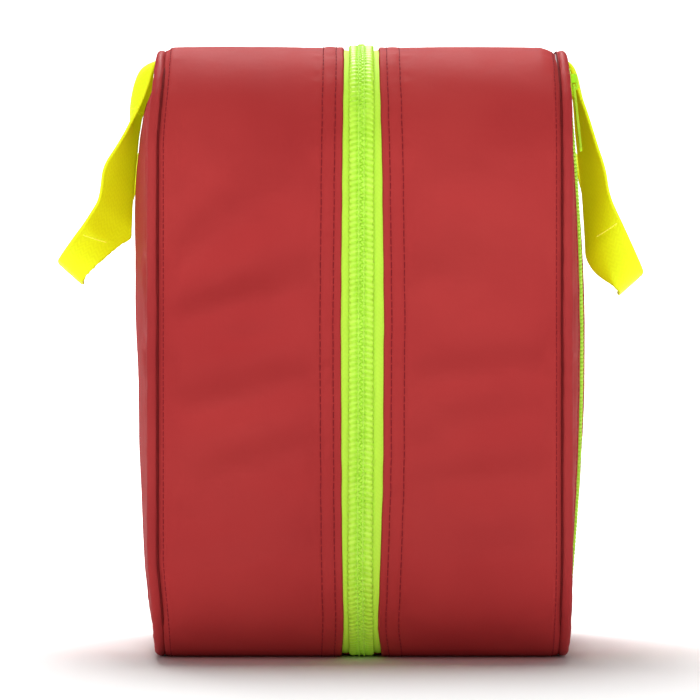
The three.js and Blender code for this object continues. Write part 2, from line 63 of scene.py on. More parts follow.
# ---------------------------------------------------------------- dimensions
W, H, R = 240.0, 268.0, 50.0
HX, HZ = W / 2 - R, H / 2 - R
ARC = R * math.pi / 2
LENGTH = 4 * (HX + HZ) + 4 * ARC
GUSSET_IN, GUSSET_OUT = 8.6, 85.5
PIPE_R, PIPE_Y, RIM_Y = 2.5, 88.3, 88.8
FACE_OFF = 5.3
POCKET_X, ARC_R, ARC_Z, ARC_Y = -80.0, 1100.0, 136.0, 95.9
SLIDER_Z = 252.0


# ---------------------------------------------------------------- small maths
def smooth(a, b, x):
    t = np.clip((np.asarray(x, float) - a) / (b - a), 0, 1)
    return t * t * (3 - 2 * t)


def bump(x, c, w):
    return np.exp(-(((np.asarray(x, float) - c) / w) ** 2))


def vnoise(x, y, seed):
    """Smooth noise in -1..1, repeating every 64 cells."""
    g = np.random.default_rng(seed).uniform(-1, 1, (64, 64))
    x, y = np.broadcast_arrays(np.asarray(x, float), np.asarray(y, float))
    xi, yi = np.floor(x).astype(int), np.floor(y).astype(int)
    fx, fy = x - xi, y - yi
    fx, fy = fx**3 * (fx * (fx * 6 - 15) + 10), fy**3 * (fy * (fy * 6 - 15) + 10)
    a, b = g[xi % 64, yi % 64], g[(xi + 1) % 64, yi % 64]
    c, d = g[xi % 64, (yi + 1) % 64], g[(xi + 1) % 64, (yi + 1) % 64]
    return (a + (b - a) * fx) * (1 - fy) + (c + (d - c) * fx) * fy


def fbm(x, y, seed, octaves=3):
    out, amp = 0, 1.0
    for k in range(octaves):
        out = out + amp * vnoise(x * 2**k, y * 2**k, seed + 17 * k)
        amp *= 0.5
    return out


def outline(s, off=0.0):
    """Arrays x, z, nx, nz of the bag's outline at arc length s from the bottom
    middle towards -X, moved inwards by off."""
    s = np.mod(np.asarray(s, float), LENGTH)
    off = np.broadcast_to(np.asarray(off, float), np.broadcast(s, off).shape)
    s = np.broadcast_to(s, off.shape)
    x, z, nx, nz = (np.zeros(s.shape) for _ in range(4))
    edges = np.cumsum([0, HX, ARC, 2 * HZ, ARC, 2 * HX, ARC, 2 * HZ, ARC, HX + 1e-6])
    for k in range(9):
        m = (s >= edges[k]) & (s <= edges[k + 1] if k == 8 else s < edges[k + 1])
        t = s[m] - edges[k]
        if k == 0:
            v = (-t, 0 * t, 0 * t, 0 * t - 1)
        elif k == 2:
            v = (0 * t - W / 2, R + t, 0 * t - 1, 0 * t)
        elif k == 4:
            v = (-HX + t, 0 * t + H, 0 * t, 0 * t + 1)
        elif k == 6:
            v = (0 * t + W / 2, H - R - t, 0 * t + 1, 0 * t)
        elif k == 8:
            v = (HX - t, 0 * t, 0 * t, 0 * t - 1)
        else:
            cx, cz, a0 = {1: (-HX, R, -90), 3: (-HX, H - R, 180), 5: (HX, H - R, 90), 7: (HX, R, 0)}[k]
            a = np.radians(a0 - 90 * t / ARC)
            v = (cx + R * np.cos(a), cz + R * np.sin(a), np.cos(a), np.sin(a))
        x[m], z[m], nx[m], nz[m] = v
    return x - nx * off, z - nz * off, nx, nz


# ---------------------------------------------------------------- mesh makers
def make(name, verts, faces, mat, body, uv=None, shade=True, replaces=(), slot=None):
    """A mesh object from float verts in millimetres and an (n, 3 or 4) index
    array, riding on a body. uv is per face corner."""
    me = bpy.data.meshes.new(name)
    verts = np.ascontiguousarray(np.asarray(verts, float).reshape(-1, 3) * MM, np.float32)
    faces = np.ascontiguousarray(faces, np.int32)
    n, k = faces.shape
    me.vertices.add(len(verts))
    me.vertices.foreach_set("co", verts.ravel())
    me.loops.add(n * k)
    me.loops.foreach_set("vertex_index", faces.ravel())
    me.polygons.add(n)
    me.polygons.foreach_set("loop_start", np.arange(0, n * k, k, dtype=np.int32))
    me.polygons.foreach_set("use_smooth", np.full(n, shade, bool))
    me.update(calc_edges=True)
    if uv is not None:
        layer = me.uv_layers.new(name="UVMap")
        layer.data.foreach_set("uv", np.ascontiguousarray(uv, np.float32).ravel())
    me.validate()
    ob = bpy.data.objects.new(name, me)
    bpy.context.scene.collection.objects.link(ob)
    if mat is not None:
        me.materials.append(mat)
    if body:
        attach(ob, body)
    if replaces:
        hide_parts(*replaces)
    return ob


def grid_faces(n, m, closed_u=False, closed_v=False, flip=False, start=0):
    nu, nv = (n if closed_u else n - 1), (m if closed_v else m - 1)
    i, j = np.arange(nu)[:, None], np.arange(nv)[None, :]
    a, b = i * m + j, ((i + 1) % n) * m + j
    c, d = ((i + 1) % n) * m + (j + 1) % m, i * m + (j + 1) % m
    f = np.stack([a, b, c, d] if not flip else [d, c, b, a], -1).reshape(-1, 4)
    return f + start


def grid_uv(U, V, flip=False):
    """Per-corner uv for grid_faces; U and V hold one more value than faces."""
    nu, nv = len(U) - 1, len(V) - 1
    i, j = np.meshgrid(np.arange(nu), np.arange(nv), indexing="ij")
    q = [(U[i], V[j]), (U[i + 1], V[j]), (U[i + 1], V[j + 1]), (U[i], V[j + 1])]
    if flip:
        q = q[::-1]
    return np.stack([np.stack(c, -1) for c in q], 2).reshape(-1, 2)


def skin(name, P, mat, body, closed_u=False, closed_v=False, U=None, V=None, flip=False, caps=False, **kw):
    """A surface through the (n, m, 3) points P."""
    n, m = P.shape[:2]
    f = grid_faces(n, m, closed_u, closed_v, flip)
    uv = None
    if U is None:
        d = np.linalg.norm(np.diff(P[:, 0], axis=0), axis=-1)
        U = np.r_[0, np.cumsum(d)]
        if closed_u:
            U = np.r_[U, U[-1] + np.linalg.norm(P[0, 0] - P[-1, 0])]
    if V is None:
        d = np.linalg.norm(np.diff(P[0], axis=0), axis=-1)
        V = np.r_[0, np.cumsum(d)]
        if closed_v:
            V = np.r_[V, V[-1] + np.linalg.norm(P[0, 0] - P[0, -1])]
    uv = grid_uv(np.asarray(U) * MM, np.asarray(V) * MM, flip)
    verts = P.reshape(-1, 3)
    if caps and not closed_u and closed_v:
        extra, ev = [], []
        for end, row in ((0, P[0]), (1, P[-1])):
            c = len(verts)
            verts = np.vstack([verts, row.mean(0)[None]])
            base = 0 if end == 0 else (n - 1) * m
            j = np.arange(m)
            a, b = base + j, base + (j + 1) % m
            q = np.stack([a, a, b, np.full(m, c)], -1)
            if (end == 0) == flip:
                q = q[:, [2, 1, 0, 3]]
            extra.append(q)
        tri = np.vstack([e[:, [0, 2, 3]] for e in extra])
        ob = make(name, verts, f, mat, body, uv=uv, **kw)
        add_tris(ob, tri, flip)
        return ob
    return make(name, verts, f, mat, body, uv=uv, **kw)


def add_tris(ob, tri, flip=False):
    import bmesh

    bm = bmesh.new()
    bm.from_mesh(ob.data)
    bm.verts.ensure_lookup_table()
    for t in tri:
        try:
            bm.faces.new([bm.verts[int(k)] for k in t]).smooth = True
        except ValueError:
            pass
    bmesh.ops.recalc_face_normals(bm, faces=bm.faces)
    bm.to_mesh(ob.data)
    bm.free()


def tubes(name, P, radius, mat, body, sides=6, **kw):
    """Many round threads in one mesh. P is (count, points, 3); radius is one
    number or (points,). The ends taper shut."""
    K, n = P.shape[:2]
    r = np.broadcast_to(np.asarray(radius, float), (n,)).copy()
    t = np.gradient(P, axis=1)
    t /= np.linalg.norm(t, axis=-1, keepdims=True) + 1e-12
    ref = np.where(np.abs(t[..., 1:2]) < 0.9, np.array([0, 1.0, 0]), np.array([1.0, 0, 0]))
    a = np.cross(t, ref)
    a /= np.linalg.norm(a, axis=-1, keepdims=True) + 1e-12
    b = np.cross(t, a)
    ang = np.arange(sides) * 2 * np.pi / sides
    Q = P[:, :, None] + r[None, :, None, None] * (
        a[:, :, None] * np.cos(ang)[None, None, :, None] + b[:, :, None] * np.sin(ang)[None, None, :, None]
    )
    f0 = grid_faces(n, sides, False, True)
    cap0 = np.stack([np.arange(sides), (np.arange(sides) + 1) % sides], -1)
    tips = np.stack([P[:, 0] - t[:, 0] * r[0] * 0.6, P[:, -1] + t[:, -1] * r[-1] * 0.6], 1)
    allv = np.concatenate([Q.reshape(K, n * sides, 3), tips], 1)
    per = n * sides + 2
    # end caps as triangles that meet at the tip
    c0 = np.stack([cap0[:, 1], cap0[:, 0], np.full(sides, n * sides)], -1)
    c1 = np.stack([cap0[:, 0] + (n - 1) * sides, cap0[:, 1] + (n - 1) * sides, np.full(sides, n * sides + 1)], -1)
    tri = np.vstack([np.stack([f0[:, 0], f0[:, 1], f0[:, 2]], -1), np.stack([f0[:, 0], f0[:, 2], f0[:, 3]], -1), c0, c1])
    tri = (tri[None] + (np.arange(K) * per)[:, None, None]).reshape(-1, 3)
    return make(name, allv.reshape(-1, 3), tri[:, ::-1], mat, body, **kw)


def stitches(name, P, N, mat, body, length=2.6, pitch=3.4, radius=0.26, lift=0.1, sink=0.35, slant=0.0, **kw):
    """A row of sewn stitches along points P with normals N (both (n, 3))."""
    d = np.r_[0, np.cumsum(np.linalg.norm(np.diff(P, axis=0), axis=-1))]
    count = int(d[-1] // pitch)
    start = (d[-1] - count * pitch) / 2 + np.arange(count) * pitch
    u = np.array([-0.5, -0.46, -0.3, 0.0, 0.3, 0.46, 0.5])
    h = np.array([-sink, -0.05, lift * 0.8, lift, lift * 0.8, -0.05, -sink])
    at = start[:, None] + pitch / 2 + u[None] * length
    pts = np.stack([np.interp(at, d, P[:, k]) for k in range(3)], -1)
    nor = np.stack([np.interp(at, d, N[:, k]) for k in range(3)], -1)
    nor /= np.linalg.norm(nor, axis=-1, keepdims=True)
    tan = np.gradient(pts, axis=1)
    tan /= np.linalg.norm(tan, axis=-1, keepdims=True) + 1e-12
    side = np.cross(nor, tan)
    pts = pts + nor * h[None, :, None] + side * (u * slant)[None, :, None]
    return tubes(name, pts, radius, mat, body, sides=6, **kw)


# ---------------------------------------------------------------- materials
class Mat:
    """A small helper round a node tree."""

    def __init__(self, name):
        self.m = bpy.data.materials.new(name)
        self.m.use_nodes = True
        self.t = self.m.node_tree
        self.b = self.t.nodes["Principled BSDF"]

    def node(self, kind, **kw):
        n = self.t.nodes.new(kind)
        for k, v in kw.items():
            if k in n.inputs:
                n.inputs[k].default_value = v
            else:
                setattr(n, k, v)
        return n

    def link(self, a, b):
        self.t.links.new(a, b)

    def coords(self, kind="Object", scale=(1, 1, 1), rotate=(0, 0, 0)):
        tc = self.node("ShaderNodeTexCoord")
        mp = self.node("ShaderNodeMapping")
        mp.inputs["Scale"].default_value = scale
        mp.inputs["Rotation"].default_value = rotate
        self.link(tc.outputs[kind], mp.inputs["Vector"])
        return mp.outputs["Vector"]

    def noise(self, vec, scale, detail=4.0, rough=0.55, dist=0.0):
        n = self.node("ShaderNodeTexNoise")
        n.inputs["Scale"].default_value = scale
        n.inputs["Detail"].default_value = detail
        n.inputs["Roughness"].default_value = rough
        n.inputs["Distortion"].default_value = dist
        self.link(vec, n.inputs["Vector"])
        return n.outputs["Fac"]

    def wave(self, vec, scale, direction="X", dist=0.0, profile="SIN"):
        n = self.node("ShaderNodeTexWave", wave_type="BANDS", bands_direction=direction, wave_profile=profile)
        n.inputs["Scale"].default_value = scale
        n.inputs["Distortion"].default_value = dist
        self.link(vec, n.inputs["Vector"])
        return n.outputs["Fac"]

    def math(self, op, a, b=None, clamp=False):
        n = self.node("ShaderNodeMath", operation=op, use_clamp=clamp)
        for k, v in enumerate((a, b)):
            if v is None:
                continue
            if isinstance(v, (int, float)):
                n.inputs[k].default_value = v
            else:
                self.link(v, n.inputs[k])
        return n.outputs[0]

    def ramp(self, fac, stops):
        n = self.node("ShaderNodeValToRGB")
        e = n.color_ramp.elements
        while len(e) < len(stops):
            e.new(0.5)
        for k, (p, c) in enumerate(stops):
            e[k].position = p
            e[k].color = (*c, 1) if len(c) == 3 else c
        self.link(fac, n.inputs["Fac"])
        return n.outputs["Color"]

    def range(self, fac, lo, hi):
        n = self.node("ShaderNodeMapRange")
        n.inputs["To Min"].default_value = lo
        n.inputs["To Max"].default_value = hi
        self.link(fac, n.inputs["Value"])
        return n.outputs["Result"]

    def mixc(self, fac, a, b, mode="MIX"):
        n = self.node("ShaderNodeMix", data_type="RGBA", blend_type=mode)
        for s, v in ((n.inputs[0], fac), (n.inputs[6], a), (n.inputs[7], b)):
            if isinstance(v, (int, float)):
                s.default_value = v
            elif isinstance(v, tuple):
                s.default_value = (*v, 1)
            else:
                self.link(v, s)
        return n.outputs[2]

    def bump(self, height, dist, strength=1.0, under=None):
        n = self.node("ShaderNodeBump")
        n.inputs["Strength"].default_value = strength
        n.inputs["Distance"].default_value = dist
        self.link(height, n.inputs["Height"])
        if under is not None:
            self.link(under, n.inputs["Normal"])
        return n.outputs["Normal"]

    def done(self, color=None, rough=None, normal=None, **kw):
        for name, v in (("Base Color", color), ("Roughness", rough), ("Normal", normal)):
            if v is None:
                continue
            if isinstance(v, (int, float)):
                self.b.inputs[name].default_value = v
            elif isinstance(v, tuple):
                self.b.inputs[name].default_value = (*v, 1)
            else:
                self.link(v, self.b.inputs[name])
        for k, v in kw.items():
            self.b.inputs[k.replace("_", " ")].default_value = v
        return self.m


def lin(*c):
    return tuple(((x / 255 + 0.055) / 1.055) ** 2.4 if x > 10 else x / 255 / 12.92 for x in c)


def coated(name, mid, dark, light, rough=0.4):
    """Woven fabric under a smooth semi-matte coating."""
    m = Mat(name)
    o = m.coords("Object")
    big = m.noise(o, 14, 3, 0.5)
    fine = m.noise(o, 900, 2, 0.6)
    col = m.ramp(big, [(0.25, dark), (0.5, mid), (0.8, light)])
    col = m.mixc(m.range(fine, 0.0, 0.12), col, dark)
    uv = m.coords("UV")
    w1 = m.wave(uv, 620, "X")
    w2 = m.wave(uv, 620, "Y")
    weave = m.math("MULTIPLY", w1, w2)
    n1 = m.bump(weave, 0.00004, 0.5)
    n2 = m.bump(m.noise(o, 260, 3, 0.6), 0.00012, 0.55, n1)
    r = m.range(m.noise(o, 60, 4, 0.6), rough - 0.06, rough + 0.1)
    return m.done(col, r, n2, Sheen_Weight=0.0, Specular_IOR_Level=0.05)


def woven(name, mid, dark, light, pitch=0.9, depth=0.12, rough=0.7, rows=1.0, sheen=0.25):
    """Webbing or tape: a herringbone of threads from the piece's own uv."""
    m = Mat(name)
    uv = m.coords("UV")
    o = m.coords("Object")
    k = 1000.0 / pitch / 2 / 3.1416 * 3.1416  # bands per metre
    a = m.wave(m.coords("UV", rotate=(0, 0, math.radians(45))), k * 0.16 * rows, "X", 0.3)
    b = m.wave(m.coords("UV", scale=(1, -1, 1), rotate=(0, 0, math.radians(45))), k * 0.16 * rows, "X", 0.3)
    rib = m.wave(uv, k * 0.07, "Y", 0.0)
    sel = m.math("GREATER_THAN", rib, 0.5)
    mixed = m.node("ShaderNodeMix", data_type="FLOAT")
    m.link(sel, mixed.inputs[0])
    m.link(a, mixed.inputs[2])
    m.link(b, mixed.inputs[3])
    threads = mixed.outputs[0]
    fuzz = m.noise(o, 1400, 2, 0.7)
    col = m.ramp(m.noise(o, 35, 3, 0.5), [(0.3, mid), (0.7, light)])
    # darker where the threads lie low: painted shade in the weave's grooves
    col = m.mixc(m.range(threads, 0.35, 0.0), col, dark)
    col = m.mixc(m.range(fuzz, 0.0, 0.14), col, dark)
    n1 = m.bump(threads, depth * MM, 0.7)
    n2 = m.bump(fuzz, 0.00006, 0.5, n1)
    return m.done(col, rough, n2, Sheen_Weight=sheen, Sheen_Roughness=0.4, Specular_IOR_Level=0.3)


def plastic(name, mid, light, rough=0.35, spec=0.5, coat=0.0):
    m = Mat(name)
    o = m.coords("Object")
    col = m.ramp(m.noise(o, 180, 3, 0.5), [(0.3, mid), (0.75, light)])
    r = m.range(m.noise(o, 420, 3, 0.6), rough - 0.05, rough + 0.08)
    n = m.bump(m.noise(o, 700, 2, 0.5), 0.00003, 0.4)
    return m.done(col, r, n, Specular_IOR_Level=spec, Coat_Weight=coat, Coat_Roughness=0.15)


RED_MID, RED_DARK, RED_LIGHT = (0.40, 0.034, 0.034), (0.355, 0.027, 0.028), (0.43, 0.041, 0.039)
M_RED = coated("coated_red", RED_MID, RED_DARK, RED_LIGHT, 0.6)
M_PIPE = coated("coated_red_piping", (0.38, 0.034, 0.035), (0.32, 0.025, 0.027), (0.42, 0.042, 0.040), 0.5)
M_THREAD = plastic("red_thread", (0.19, 0.008, 0.014), (0.25, 0.012, 0.02), 0.7, 0.15)
M_TAPE = woven("lime_tape", (0.58, 0.94, 0.06), (0.52, 0.88, 0.045), (0.60, 0.96, 0.07), 0.35, 0.02, 0.7, 1.0, 0.0)
M_COIL = plastic("lime_coil", (0.47, 0.84, 0.04), (0.56, 0.92, 0.07), 0.4, 0.4)
M_LTHREAD = plastic("lime_thread", (0.45, 0.80, 0.05), (0.58, 0.92, 0.11), 0.6, 0.3)
M_PULL = plastic("lime_enamel", (0.48, 0.90, 0.006), (0.54, 0.94, 0.010), 0.42, 0.22, 0.0)
M_WEB = woven("yellow_webbing", (0.63, 0.72, 0.001), (0.55, 0.61, 0.001), (0.68, 0.77, 0.002), 0.42, 0.06, 0.7, 1.0, 0.0)
# the webbing glows a little: partly the high-visibility dye's own fluorescence, partly painted light that brightens its
# shaded faces
for k, v in (("Emission Color", (0.60, 0.78, 0.0, 1)), ("Emission Strength", 0.28)):
    M_WEB.node_tree.nodes["Principled BSDF"].inputs[k].default_value = v
M_YTHREAD = plastic("yellow_thread", (0.86, 0.84, 0.06), (0.93, 0.93, 0.10), 0.6, 0.3)
# the yellow thread glows a little too: painted light that keeps the bar tacks as bright as the webbing
for k, v in (("Emission Color", (0.75, 0.85, 0.15, 1)), ("Emission Strength", 0.3)):
    M_YTHREAD.node_tree.nodes["Principled BSDF"].inputs[k].default_value = v

M_LINING = woven("grey_lining", (0.30, 0.31, 0.32), (0.17, 0.175, 0.18), (0.36, 0.37, 0.38), 0.5, 0.05, 0.65, 1.0, 0.1)
M_BIND = woven("dark_red_binding", (0.22, 0.012, 0.015), (0.11, 0.006, 0.008), (0.28, 0.018, 0.02), 1.0, 0.12, 0.75)
M_GTHREAD = plastic("grey_thread", (0.20, 0.20, 0.21), (0.30, 0.30, 0.31), 0.6, 0.3)
M_DGROOVE = plastic("zip_core", (0.42, 0.80, 0.03), (0.50, 0.88, 0.05), 0.6, 0.3)

# ---------------------------------------------------------------- the gussets
YS_OUT = np.unique(
    np.r_[np.linspace(0, 1.2, 6), np.linspace(1.2, 14, 22), np.linspace(14, 66, 34), np.linspace(66, 76.9, 14)]
)
SG = np.linspace(0, LENGTH, 744, endpoint=False)


def zip_edge(s, side):
    """|y| of the fabric edge beside the main zipper."""
    x, z, nx, nz = outline(s)
    t = np.clip(z / H, 0, 1)
    if side > 0:
        e = np.interp(t, [0, 0.05, 0.25, 0.5, 0.8, 1], [8.6, 7.9, 8.7, 9.1, 8.5, 7.7])
    else:
        e = np.interp(t, [0, 0.05, 0.15, 0.3, 0.55, 0.8, 1], [8.6, 6.9, 7.7, 9.1, 9.4, 8.7, 7.3])
    under = (np.abs(x) < 64) & (z < 5)
    return np.where(under, 8.7, e) + 0.12 * vnoise(s / 9, 0 * s, 5)


def photo_ripples(y, z, side):
    """Soft diagonal folds of the side that is seen most, in mm."""
    out = np.zeros(np.broadcast(y, z).shape)
    # (y0, z0, y1, z1, height, half width) with |y| and z in mm
    rear = [
        (86, 164, 38, 204, 1.9, 10.0),
        (78, 147, 12, 165, 1.8, 8.0),
        (74, 109, 12, 122, 1.7, 8.5),
        (72, 77, 14, 93, 1.6, 9.0),
        (62, 138, 16, 147, 0.8, 6.0),
        (86, 194, 64, 218, 1.0, 8.0),
        (86, 60, 50, 66, 0.9, 7.0),
        (50, 44, 20, 52, 0.6, 7.0),
    ]
    front = [
        (20, 122, 84, 127, 1.0, 7.0),
        (34, 104, 70, 106, 0.8, 7.0),
        (26, 76, 84, 80, 0.8, 6.5),
        (30, 205, 76, 214, 0.6, 10.0),
        (16, 160, 48, 168, 0.6, 8.0),
        (40, 46, 80, 50, 0.5, 7.0),
        (18, 92, 40, 96, 0.5, 5.0),
    ]
    for y0, z0, y1, z1, h, w in rear if side > 0 else front:
        dy, dz = y1 - y0, z1 - z0
        ll = dy * dy + dz * dz
        t = ((y - y0) * dy + (z - z0) * dz) / ll
        d = ((y - y0) * -dz + (z - z0) * dy) / math.sqrt(ll)
        d = d + 1.2 * vnoise(t * 3.0 + y0, 0 * t + z0, 9)
        wv = w * np.clip(1.05 + 0.4 * t, 0.8, 1.6)
        along = smooth(-0.35, 0.3, t) * (1 - smooth(0.85, 1.45, t))
        out += h * along * (np.exp(-((d / wv) ** 2)) - 0.55 * np.exp(-(((d + np.sign(dy) * -1.6 * wv) / (1.3 * wv)) ** 2)))
    return out


def gusset_height(s, y, side):
    """How far the outer surface stands out from the outline, in mm, at arc
    length s and distance |y| from the middle."""
    x, z, nx, nz = outline(s)
    e = y - zip_edge(s, side)
    base = np.clip(-nz, 0, 1)
    free = 1 - smooth(0.55, 0.95, base)
    top = smooth(0.5, 0.97, nz)
    h = np.zeros(np.broadcast(s, y).shape)
    # folded edge, rolled down at the zipper
    h -= 0.7 * (1 - smooth(0.0, 0.9, e)) ** 2
    # two sewn rows with the cloth gathered between them
    for row, depth in ((3.4, 0.34), (9.0, 0.36)):
        h -= depth * bump(e, row, 0.7) * (0.3 + 0.7 * free) * (1 - 0.5 * top)
    pucker = vnoise(s / 4.6, 0 * s + side, 31) * 0.75 + vnoise(s / 2.6, 0 * s, 33) * 0.25
    h += free * (0.18 * bump(e, 6.2, 2.3) * (1 - 0.7 * top) + 0.42 * pucker * bump(e, 6.2, 2.6))
    h += free * 0.16 * pucker * bump(e, 1.8, 1.4)
    # puffed body of the panel
    out = y - 86.0 - belly(z, nx, side)
    h += free * (0.9 - 0.75 * top) * smooth(9.5, 24, e) * (1 - smooth(-20, -0.5, out))
    h += free * 0.22 * vnoise(s / 4.0, y / 9.0, 44) * bump(e, 11.5, 2.6)
    # down into the piping seam
    h -= 1.5 * smooth(-4.2, -0.2, out) ** 1.6 * (0.25 + 0.75 * free)
    if side < 0:
        h -= 1.9 * top * smooth(-9.5, -1.5, out) ** 1.5
    # stitch line just inside the piping
    h -= free * 0.18 * bump(out, -2.0, 0.6) * (1 - top)
    h += free * 0.18 * vnoise(s / 6.5, 0 * s + side, 52) * bump(out, -4.5, 4.0)
    # ripples
    body = smooth(9, 17, e) * (1 - smooth(-11, -2, out)) * free
    left = smooth(0.4, 0.9, -nx)
    u = z * 0.94 + (-y) * 0.34 * side
    v = y * 0.94 + z * 0.34
    general = 0.75 * vnoise(u / 15.0, v / 58.0 + 7 * side, 61) + 0.3 * vnoise(u / 8.5, v / 36.0, 62 + side)
    flat = 0.22 * vnoise((x + 400) / 48.0, y / 22.0, 70 + side) + 0.08 * vnoise((x + 300) / 20.0, y / 15.0, 72)
    rip = (left * 0.42 * general + (1 - left) * general) * (1 - top) + flat * top
    h += (0.4 * smooth(0.5, 4, e) + 0.6 * smooth(9, 17, e)) * (1 - smooth(-11, -2, out)) * free * left * 2.0 * photo_ripples(y, z, side)
    h += body * rip
    h += free * 0.04 * vnoise(s / 1.9, y / 1.7, 80)
    return h


def belly(z, nx, side):
    """How far the piped seam is pushed outwards by the stuffed rear face."""
    return (2.0 if side > 0 else 0.2) * smooth(6, 48, z) * (1 - smooth(222, 262, z)) * np.abs(nx) ** 2


def gusset_y(s, y, side):
    """Moves the grid's |y| so that its first column follows the zip edge."""
    _, z, nx, _ = outline(s)
    return y + (zip_edge(s, side) - GUSSET_IN) * (1 - smooth(GUSSET_IN, 34, y)) + belly(z, nx, side) * smooth(50, 84.5, y) + 0.5 * smooth(76, 85.5, y)


def gusset_point(s, y, side, lift=0.0):
    """Surface point and outward normal for stitches."""
    h = gusset_height(s, y, side)
    x, z, nx, nz = outline(s, -(h + lift))
    return np.stack([x, side * y, z], -1), np.stack([nx, 0 * nx, nz], -1)


for side, name in ((1, "rear"), (-1, "front")):
    body = f"{name}_shell"
    S = SG[:, None]
    Y0 = GUSSET_IN + YS_OUT[None, :]
    Y = gusset_y(S, Y0, side)
    Hh = gusset_height(S, Y, side)
    xo, zo, nx, nz = outline(np.broadcast_to(S, Y.shape), -Hh)
    outer = np.stack([xo, side * Y, np.maximum(zo, 0.0)], -1)
    yi = np.array([85.4, 84.6, 82.0, 76, 70.0, 63, 56.0, 49, 42.0, 36, 30.0, 25, 22.0, 18.0, 14.0, 11.0, 9.6, 8.9])
    oi = np.array([1.6, 2.9, 3.0, 3, 3.0, 3, 3.0, 3, 3.0, 3, 3.0, 3, 2.9, 2.0, 1.35, 1.25, 1.2, 1.0])
    Yi = gusset_y(S, np.broadcast_to(yi, (len(SG), len(yi))), side)
    quilt = 0.35 * vnoise(S / 16.0, Yi / 12.0, 12 + side) * (oi[None] > 2.95)
    xi, zi, _, _ = outline(np.broadcast_to(S, Yi.shape), oi[None, :] + np.abs(quilt))
    inner = np.stack([xi, side * Yi, zi], -1)
    P = np.concatenate([outer, inner], 1)
    V = np.r_[YS_OUT, 76.9 + np.cumsum(np.r_[2.0, np.abs(np.diff(yi)), 1.0])]
    U = np.r_[SG, LENGTH]
    ob = skin(f"{name}_gusset_cloth", P, M_RED, body, True, True, U=U, V=V, flip=side > 0,
              replaces=(f"{name}_gusset",), slot="shell_red")
    ob.data.materials.append(M_LINING)
    m = P.shape[1]
    if len(ob.data.polygons) == len(SG) * m:
        idx = np.tile((np.arange(m) >= len(YS_OUT) + 1) & (np.arange(m) < m - 5), len(SG)).astype(np.int32)
        ob.data.polygons.foreach_set("material_index", idx)
    # sewn rows
    ss = np.arange(0, LENGTH, 1.0)
    for tag, off in (("edge", 3.4), ("inner", 9.0)):
        keep = ss[(ss > 62) & (ss < LENGTH - 62)]
        yy = zip_edge(keep, side) + off
        p, n = gusset_point(keep, yy, side)
        stitches(f"{name}_zip_stitch_{tag}", p, n, M_THREAD, body, length=2.7, pitch=3.4, radius=0.24, lift=0.12)
    _, zs, nxs, _ = outline(ss)
    p, n = gusset_point(ss, 83.5 + belly(zs, nxs, side), side)
    stitches(f"{name}_pipe_stitch", p, n, M_THREAD, body, length=2.1, pitch=2.7, radius=0.2, lift=0.1)

# ---------------------------------------------------------------- the piping
for side, name in ((1, "rear"), (-1, "front")):
    s = SG[:, None]
    a = (np.arange(20) / 20 * 2 * math.pi)[None]
    _, zc, nx, nz = outline(s)
    wr = 0.10 * vnoise(s / 3.2, a * 1.2, 90 + side) + 0.12 * vnoise(s / 11.0, a * 0.8, 91)
    corner = np.abs(np.abs(nz) - 0.7071) < 0.35
    wr = wr * np.where(corner, 1.5, 1.0)
    r = PIPE_R - 0.05 + wr
    droop = 1.5 * smooth(0.5, 1.0, nz)
    off = np.maximum(PIPE_R + droop - r * np.sin(a), 0.0)
    y = PIPE_Y - 0.5 * smooth(0.5, 1.0, nz) + belly(zc, nx, side) + r * np.cos(a)
    x, z, _, _ = outline(np.broadcast_to(s, off.shape), off)
    P = np.stack([x, side * y, z], -1)
    skin(f"{name}_piping_cord", P, M_PIPE, f"{name}_shell", True, True, U=np.r_[SG, LENGTH],
         V=np.linspace(0, 15.7, 21), flip=side < 0, replaces=(f"{name}_piping",), slot="piping_red")


# the piping's flange, sewn into the seam beside the cord; it is a darker red than the cloth, painted shade for the dark
# line in the seam
M_FLANGE_SHADE = plastic("seam_flange_painted_shade", (0.13, 0.008, 0.009), (0.17, 0.012, 0.013), 0.8, 0.1)
for side, name in ((1, "rear"), (-1, "front")):
    s = SG[:, None]
    a = (np.arange(8) / 8 * 2 * math.pi)[None]
    _, zc, nx, nz = outline(s)
    r = 0.42 + 0.06 * vnoise(s / 9.0, 0 * a, 140 + side)
    off = 0.95 + 1.3 * smooth(0.5, 1.0, np.abs(nz)) - r * np.sin(a)
    y = PIPE_Y - PIPE_R + 0.12 - 0.5 * smooth(0.5, 1.0, nz) + belly(zc, nx, side) + r * np.cos(a)
    x, z, _, _ = outline(np.broadcast_to(s, off.shape), np.broadcast_to(off, (len(SG), 8)))
    P = np.stack([x, side * np.broadcast_to(y, x.shape), z], -1)
    skin(f"{name}_piping_flange_shade", P, M_FLANGE_SHADE, f"{name}_shell", True, True, U=np.r_[SG, LENGTH],
         V=np.linspace(0, 2.6, 9), flip=side < 0)


